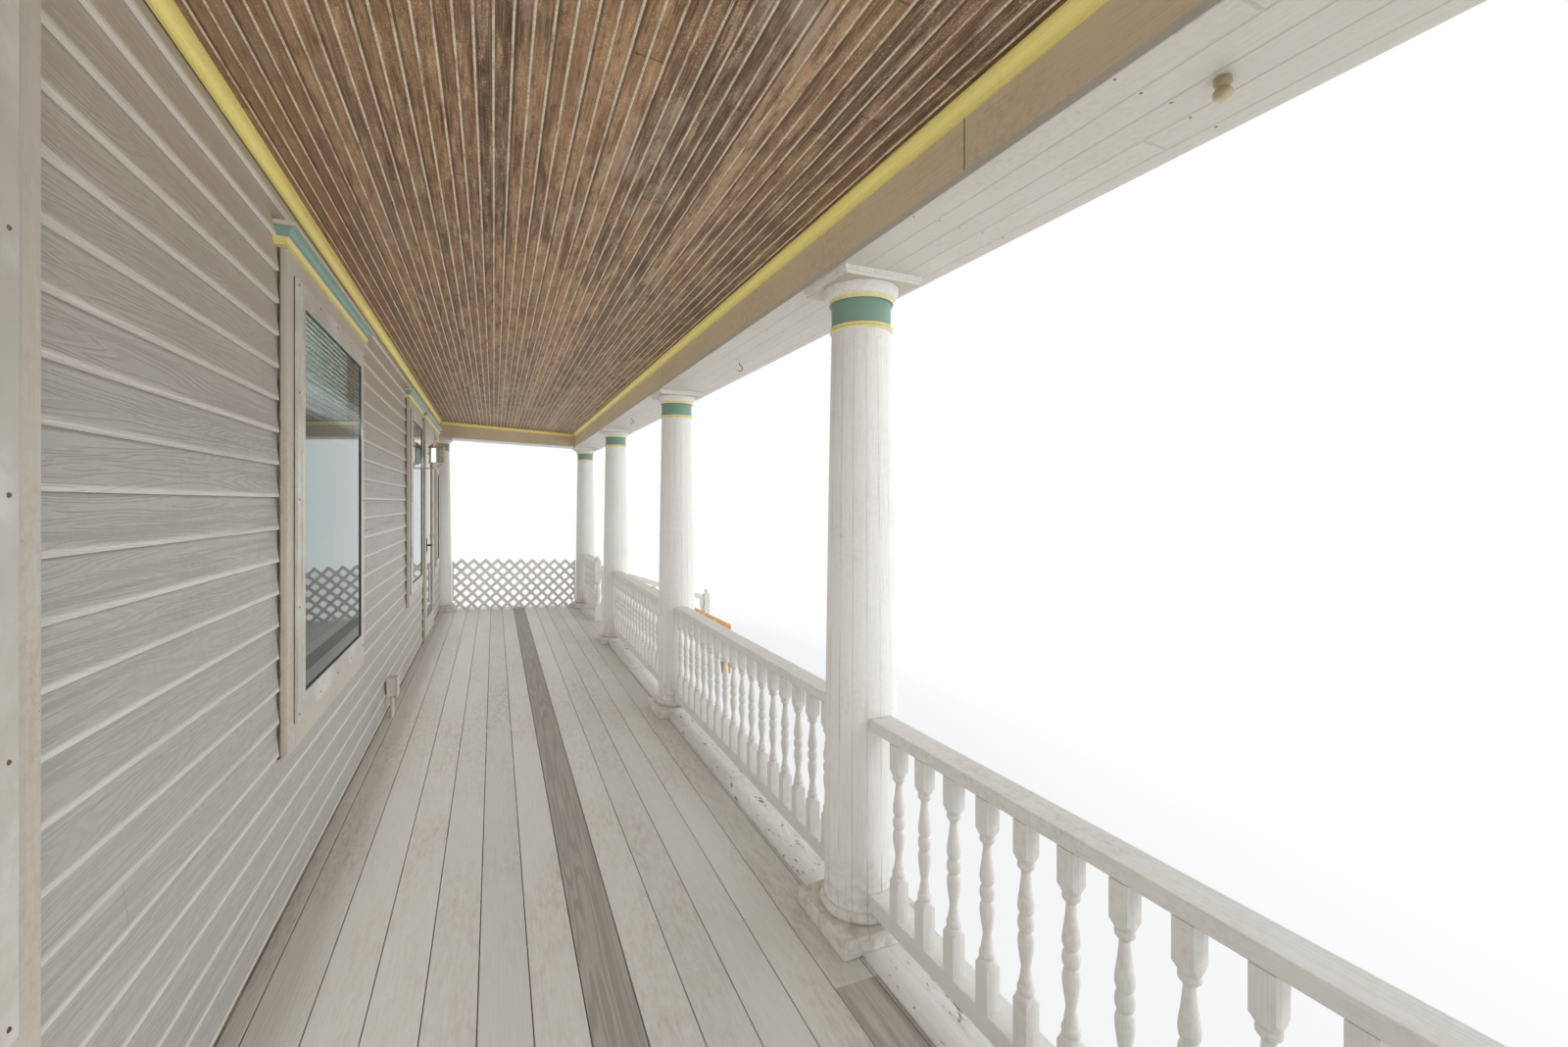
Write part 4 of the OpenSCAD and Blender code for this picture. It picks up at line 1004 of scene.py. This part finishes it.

# %% [markdown]
# ## Inner glass
#
# Behind the storm glass stands the old window's own pane, tinted dark as painted shade
# for the room behind it. Old drawn glass is never quite flat: a fine grid is moved by
# less than a tenth of a millimetre.


# %% Wavy panes
def wavy_pane(bm, x0, x1, z0, z1, y, thick, dice, steps=10):
    def sheet(y):
        rows = []
        for i in range(steps + 1):
            rows.append([])
            for j in range(steps + 1):
                inside = 0 < i < steps and 0 < j < steps
                wave = dice.uniform(-0.00008, 0.00008) if inside else 0
                rows[i].append(bm.verts.new((x0 + (x1 - x0) * i / steps, y + wave,
                                             z0 + (z1 - z0) * j / steps)))
        for i in range(steps):
            for j in range(steps):
                bm.faces.new((rows[i][j], rows[i + 1][j], rows[i + 1][j + 1], rows[i][j + 1]))
        return rows

    a, b = sheet(y), sheet(y + thick)
    for i in range(steps):
        for (i0, j0), (i1, j1) in (((i, 0), (i + 1, 0)), ((i, steps), (i + 1, steps)),
                                   ((0, i), (0, i + 1)), ((steps, i), (steps, i + 1))):
            bm.faces.new((a[i0][j0], a[i1][j1], b[i1][j1], b[i0][j0]))


dice = random.Random(11)
inner = bmesh.new()
for window in windows:
    wavy_pane(inner, *sides(window, 0.1), 1.28, 2.356, 1.644, 0.004, dice)
show("inner_sash_glass", inner, inner_glass)

# %% [markdown]
# ## Screws and nails
#
# The storm frames are held by pan-head screws that have begun to rust. A head is a low
# dome with a slot too fine to see, so twelve sides and two rings are enough. A small tree
# puts one on every point and turns it towards the porch. Nail heads in rows of 610 mm,
# a little out of line, hold the boards under the beam.

# %% Fastener heads
heads_tree, g, (points, radius, height, tilt, finish) = start_tree("Geometry", "fastener heads", [
    ("Points", None), ("Radius", 0.004), ("Height", 0.002), ("Tilt", 1.5708),
    ("Finish", "Material")], [("Heads", None)])
dome = g.out("GeometryNodeMeshCone", {
    "Vertices": 12, "Radius Bottom": radius, "Radius Top": g.times(radius, 0.6),
    "Depth": height})
end_tree(g, dome, finish, points, Rotation=tilted(g, tilt))

screw_plane, screw_low, screw_high = 1.5693, 1.315, 2.829
screw_points = []
for window in windows:
    x0, x1 = sides(window, 0.095)
    for i in range(5):
        z = screw_low + (screw_high - screw_low) * i / 4
        screw_points += [(x0, screw_plane, z), (x1, screw_plane, z)]
    for i in range(1, 4):
        x = x0 + (x1 - x0) * i / 4
        screw_points += [(x, screw_plane, screw_low), (x, screw_plane, screw_high)]
grow("storm_screws", heads_tree, screw_points, rust, "dark_metal", Radius=0.0045,
     Height=0.0024)

# %% Nails under the beam
dice = random.Random(5)
under_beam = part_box("beam_soffits")[0][2]
nails = [(-4.9 + 0.61 * i + dice.uniform(-0.01, 0.01), -0.441 + beam_board * row, under_beam)
         for row in range(5) for i in range(17)]
grow("soffit_nails", heads_tree, nails, rust, "dark_metal", Radius=0.0032, Height=0.0008,
     Tilt=math.pi)

# %% [markdown]
# ## Hooks under the beam
#
# Two steel hooks for hanging baskets are screwed into the underside of the beam. A hook
# is a rod that follows a bent line, so a tree turns each line into a tube.

# %% Rods along a line
rod_tree, g, (lines, radius, side_count, finish) = start_tree("Geometry", "bent rods", [
    ("Lines", None), ("Radius", 0.003), ("Sides", 8), ("Finish", "Material")],
    [("Rods", None)])
ring = g.out("GeometryNodeCurvePrimitiveCircle", {"Resolution": side_count, "Radius": radius})
end_tree(g, g.out("GeometryNodeCurveToMesh", {
    "Curve": g.out("GeometryNodeMeshToCurve", {"Mesh": lines}), "Profile Curve": ring,
    "Fill Caps": True}), finish)


def grow_rods(name, paths, finish, slot, radius, sides):
    points, edges = [], []
    for path in paths:
        start = len(points)
        points += path
        edges += [(start + i, start + i + 1) for i in range(len(path) - 1)]
    return grow(name, rod_tree, points, finish, slot, edges=edges, Radius=radius, Sides=sides)


def hook(x, y, bend=0.017, drop=0.032):
    """Straight down out of the beam, then twelve steps of 20 degrees round the bend."""
    turns = [math.radians(90 - 20 * i) for i in range(13)]
    return [(x, y, under_beam + 0.002), (x, y, under_beam - 0.014)] + [
        (x, y - bend * math.cos(a), under_beam - drop + bend * math.sin(a)) for a in turns]


grow_rods("basket_hooks", [hook(-1.16, -0.319), hook(1.476, -0.233)], rust, "dark_metal",
          0.0025, 8)

# %% [markdown]
# ## Caulk and dark lines
#
# The gap beside each casing is filled with old, uneven caulk, and a thin dark brown line
# runs in the corner round each storm frame. Both are thin rods as well.

# %% Caulk beside the casings
dice = random.Random(3)
caulk_paths = []
for x0, x1, z0, z1 in opening_spans:
    for x, side in ((x0, 1), (x1, -1)):
        bottom = max(z0, floor_at_wall + 0.01)
        tall = z1 - 0.004 - bottom
        count = int(tall / 0.04)
        caulk_paths.append([(x + side * 0.001 + dice.uniform(-0.0012, 0.0012),
                             wall_front - 0.0115 + dice.uniform(-0.001, 0.001),
                             bottom + tall * i / count) for i in range(count + 1)])
grow_rods("caulk_lines", caulk_paths, caulk, "wall_paint", 0.0042, 6)

# %% Dark lines round the storm frames
low, high = (corner[2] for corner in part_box("storm_windows"))
frame_line_paths = [[(x, 1.5795, z) for x, z in ((a, low), (a, high), (b, high), (b, low), (a, low))]
              for a, b in (sides(window, 0.0735) for window in windows)]
grow_rods("storm_frame_dirt", frame_line_paths, caulk, "wall_paint", 0.0024, 6)

# %% [markdown]
# ## A knob under the beam
#
# The porcelain knob is turned: an outline of height and radius, swept round its own
# axis. The same lathe makes the balusters, where a square side cuts the widest parts.


# %% Turning on a lathe
def lathe(bm, outline, centre=(0, 0, 0), around=24, side=None, way=1):
    """Sweeps (height, radius) points round an axis; a side squares whatever is past it."""
    rings = []
    for height, radius in outline:
        ring = []
        for i in range(around):
            a = 2 * math.pi * i / around
            c, s = math.cos(a), math.sin(a)
            r = radius if side is None else min(radius, side / 2 / max(abs(c), abs(s)))
            ring.append(bm.verts.new((centre[0] + r * c, centre[1] + r * s,
                                      centre[2] + way * height)))
        rings.append(ring)
    for low, high in zip(rings, rings[1:]):
        for i in range(around):
            j = (i + 1) % around
            bm.faces.new((low[i], low[j], high[j], high[i]))
    bm.faces.new(rings[0])
    bm.faces.new(rings[-1])
    return bm


knob = lathe(bmesh.new(), [
    (-0.001, 0.012), (0.002, 0.0155), (0.010, 0.0158), (0.014, 0.0125), (0.019, 0.0112),
    (0.023, 0.0150), (0.026, 0.0168), (0.033, 0.0165), (0.038, 0.0135), (0.041, 0.0070)],
    (-3.773, -0.294, under_beam), 20, way=-1)
show("porcelain_knob", knob, porcelain, smooth=True)

# %% [markdown]
# ## Turned balusters
#
# The balusters are the porch's finest work: a square block at each end, and between them
# two long vases that meet at a small ball, with a sharp groove on either side of it. One
# pattern is turned from an outline, squared where it is wider than its own block, and a
# tree sets a copy of it on every place between the rails.

# %% One baluster as a pattern
(x0, y0, z0), (x1, y1, z1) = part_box("balusters_bay_1")
block, tall = y1 - y0, z1 - z0
low_block, high_block, shoulder = 0.242 * tall, 0.181 * tall, 0.4 * block
turned_from, turned_to = low_block - shoulder, tall - high_block + shoulder
# (share of the turned length, share of the block's width), without the two end points
turning = [
    (0.010, 0.97), (0.030, 1.0), (0.052, 0.97), (0.066, 0.84), (0.072, 0.76), (0.084, 0.78),
    (0.12, 0.70), (0.185, 0.55), (0.225, 0.60), (0.28, 0.74), (0.34, 0.87), (0.385, 0.92),
    (0.425, 0.89), (0.450, 0.79), (0.464, 0.60), (0.471, 0.60), (0.482, 0.80), (0.502, 0.90),
    (0.532, 0.94), (0.562, 0.90), (0.582, 0.80), (0.593, 0.60), (0.600, 0.60), (0.613, 0.79),
    (0.636, 0.90), (0.668, 0.93), (0.71, 0.88), (0.79, 0.70), (0.865, 0.58), (0.915, 0.52),
    (0.938, 0.58), (0.944, 0.74), (0.958, 0.92), (0.976, 0.96), (0.99, 0.92)]
# the shoulder where a square block runs out into the turning
fall = [(0.0, 0.72), (0.2, 0.655), (0.4, 0.60), (0.6, 0.545), (0.78, 0.495), (0.92, 0.46),
        (1.0, 0.43)]
outline = [(0.0, 0.75 * block)]
outline += [(turned_from + shoulder * t, r * block) for t, r in fall]
outline += [(low_block + (tall - low_block - high_block) * t, r * block / 2)
            for t, r in turning]
outline += [(turned_to - shoulder * t, r * block) for t, r in reversed(fall)]
outline += [(tall, 0.75 * block)]
one = lathe(bmesh.new(), outline, side=block)
bmesh.ops.recalc_face_normals(one, faces=one.faces)
pattern_mesh = bpy.data.meshes.new("baluster pattern")
one.to_mesh(pattern_mesh)
one.free()
for face in pattern_mesh.polygons:
    face.use_smooth = turned_from < face.center.z < turned_to
pattern = bpy.data.objects.new("baluster pattern", pattern_mesh)
scene.collection.objects.link(pattern)
print("one baluster has", len(pattern_mesh.polygons), "faces and is", round(tall, 3), "m tall")

# %% A copy on every place
copies_tree, g, (points, source, finish) = start_tree("Geometry", "copies of a pattern", [
    ("Points", None), ("Pattern", "Object"), ("Finish", "Material")], [("Copies", None)])
shape = g.add("GeometryNodeObjectInfo", {"Object": source}).outputs["Geometry"]
end_tree(g, shape, finish, points)
for bay_number in (1, 2, 3, 4):
    node = f"balusters_bay_{bay_number}"
    (x0, y0, z0), (x1, y1, z1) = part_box(node)
    first, last = x0 + block / 2, x1 - block / 2
    count = round((last - first) / 0.1334)
    places = [(first + (last - first) * i / count, (y0 + y1) / 2, z0)
              for i in range(count + 1)]
    piece = grow(f"turned_balusters_{bay_number}", copies_tree, places, white_z,
                 "white_paint", Pattern=pattern)
    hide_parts(node)
bpy.data.objects.remove(pattern)

# %% [markdown]
# ## Softened edges
#
# No painted board has a knife edge. The parts nearest to the eye get a copy whose edges
# are rounded by a few millimetres: the copy's loose triangles are merged, flat faces
# joined again, and the sharp edges bevelled. The construction part stays underneath for
# the physics, and the copy stands for it.


# %% Rounded copies
def softened(node, radius):
    bm = bmesh.new()
    bm.from_mesh(nodes[node].data)
    bmesh.ops.remove_doubles(bm, verts=bm.verts, dist=0.00002)
    bmesh.ops.dissolve_limit(bm, angle_limit=math.radians(0.5), verts=bm.verts, edges=bm.edges)
    sharp = [e for e in bm.edges if e.is_manifold and e.calc_face_angle(0) > math.radians(30)]
    bmesh.ops.bevel(bm, geom=sharp, offset=radius, segments=2, profile=0.5, affect="EDGES",
                    clamp_overlap=True)
    piece = show(node + "_soft", bm, finish_of[node], turn_outwards=False)
    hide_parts(node)


for node, slot, radius in (
        ("floor_boards", "floor_paint", 0.002), ("replaced_floor_board", "bare_wood", 0.003),
        ("curb_planks", "white_paint", 0.002), ("column_plinths", "white_paint", 0.004),
        ("window_casings", "white_paint", 0.002), ("timber_rail", "raw_timber", 0.004),
        ("handrails", "white_paint", 0.004), ("bottom_rails", "white_paint", 0.003),
        ("step_treads", "floor_paint", 0.005), ("skirt_boards", "white_paint", 0.002),
        ("door_threshold", "bare_wood", 0.003), ("outlet_box", "white_plastic", 0.004)):
    softened(node, radius)

# %% [markdown]
# ## Ends of the beam
#
# Two boards close each end of the boxed beam, with rounded edges and a 2 mm gap between.

# %% Boards that close the two ends of the beam
outer_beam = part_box("beam_outer_boards")
thick, deep = 0.019, 0.3595
ends = bmesh.new()
for side in (-1, 1):
    face = outer_beam[1][0] * side
    for low, high in ((0.0, 0.103), (0.105, 0.208)):
        for v in bmesh.ops.create_cube(ends, size=1)["verts"]:
            v.co = (face - side * (0.0105 - v.co.x * side * thick),
                    outer_beam[0][1] + 0.0205 + (v.co.y + 0.5) * deep,
                    outer_beam[0][2] + 0.001 + low + (v.co.z + 0.5) * (high - low))
bmesh.ops.bevel(ends, geom=list(ends.edges), offset=0.002, segments=2, profile=0.5,
                affect="EDGES")
show("beam_end_boards", ends, white_y)
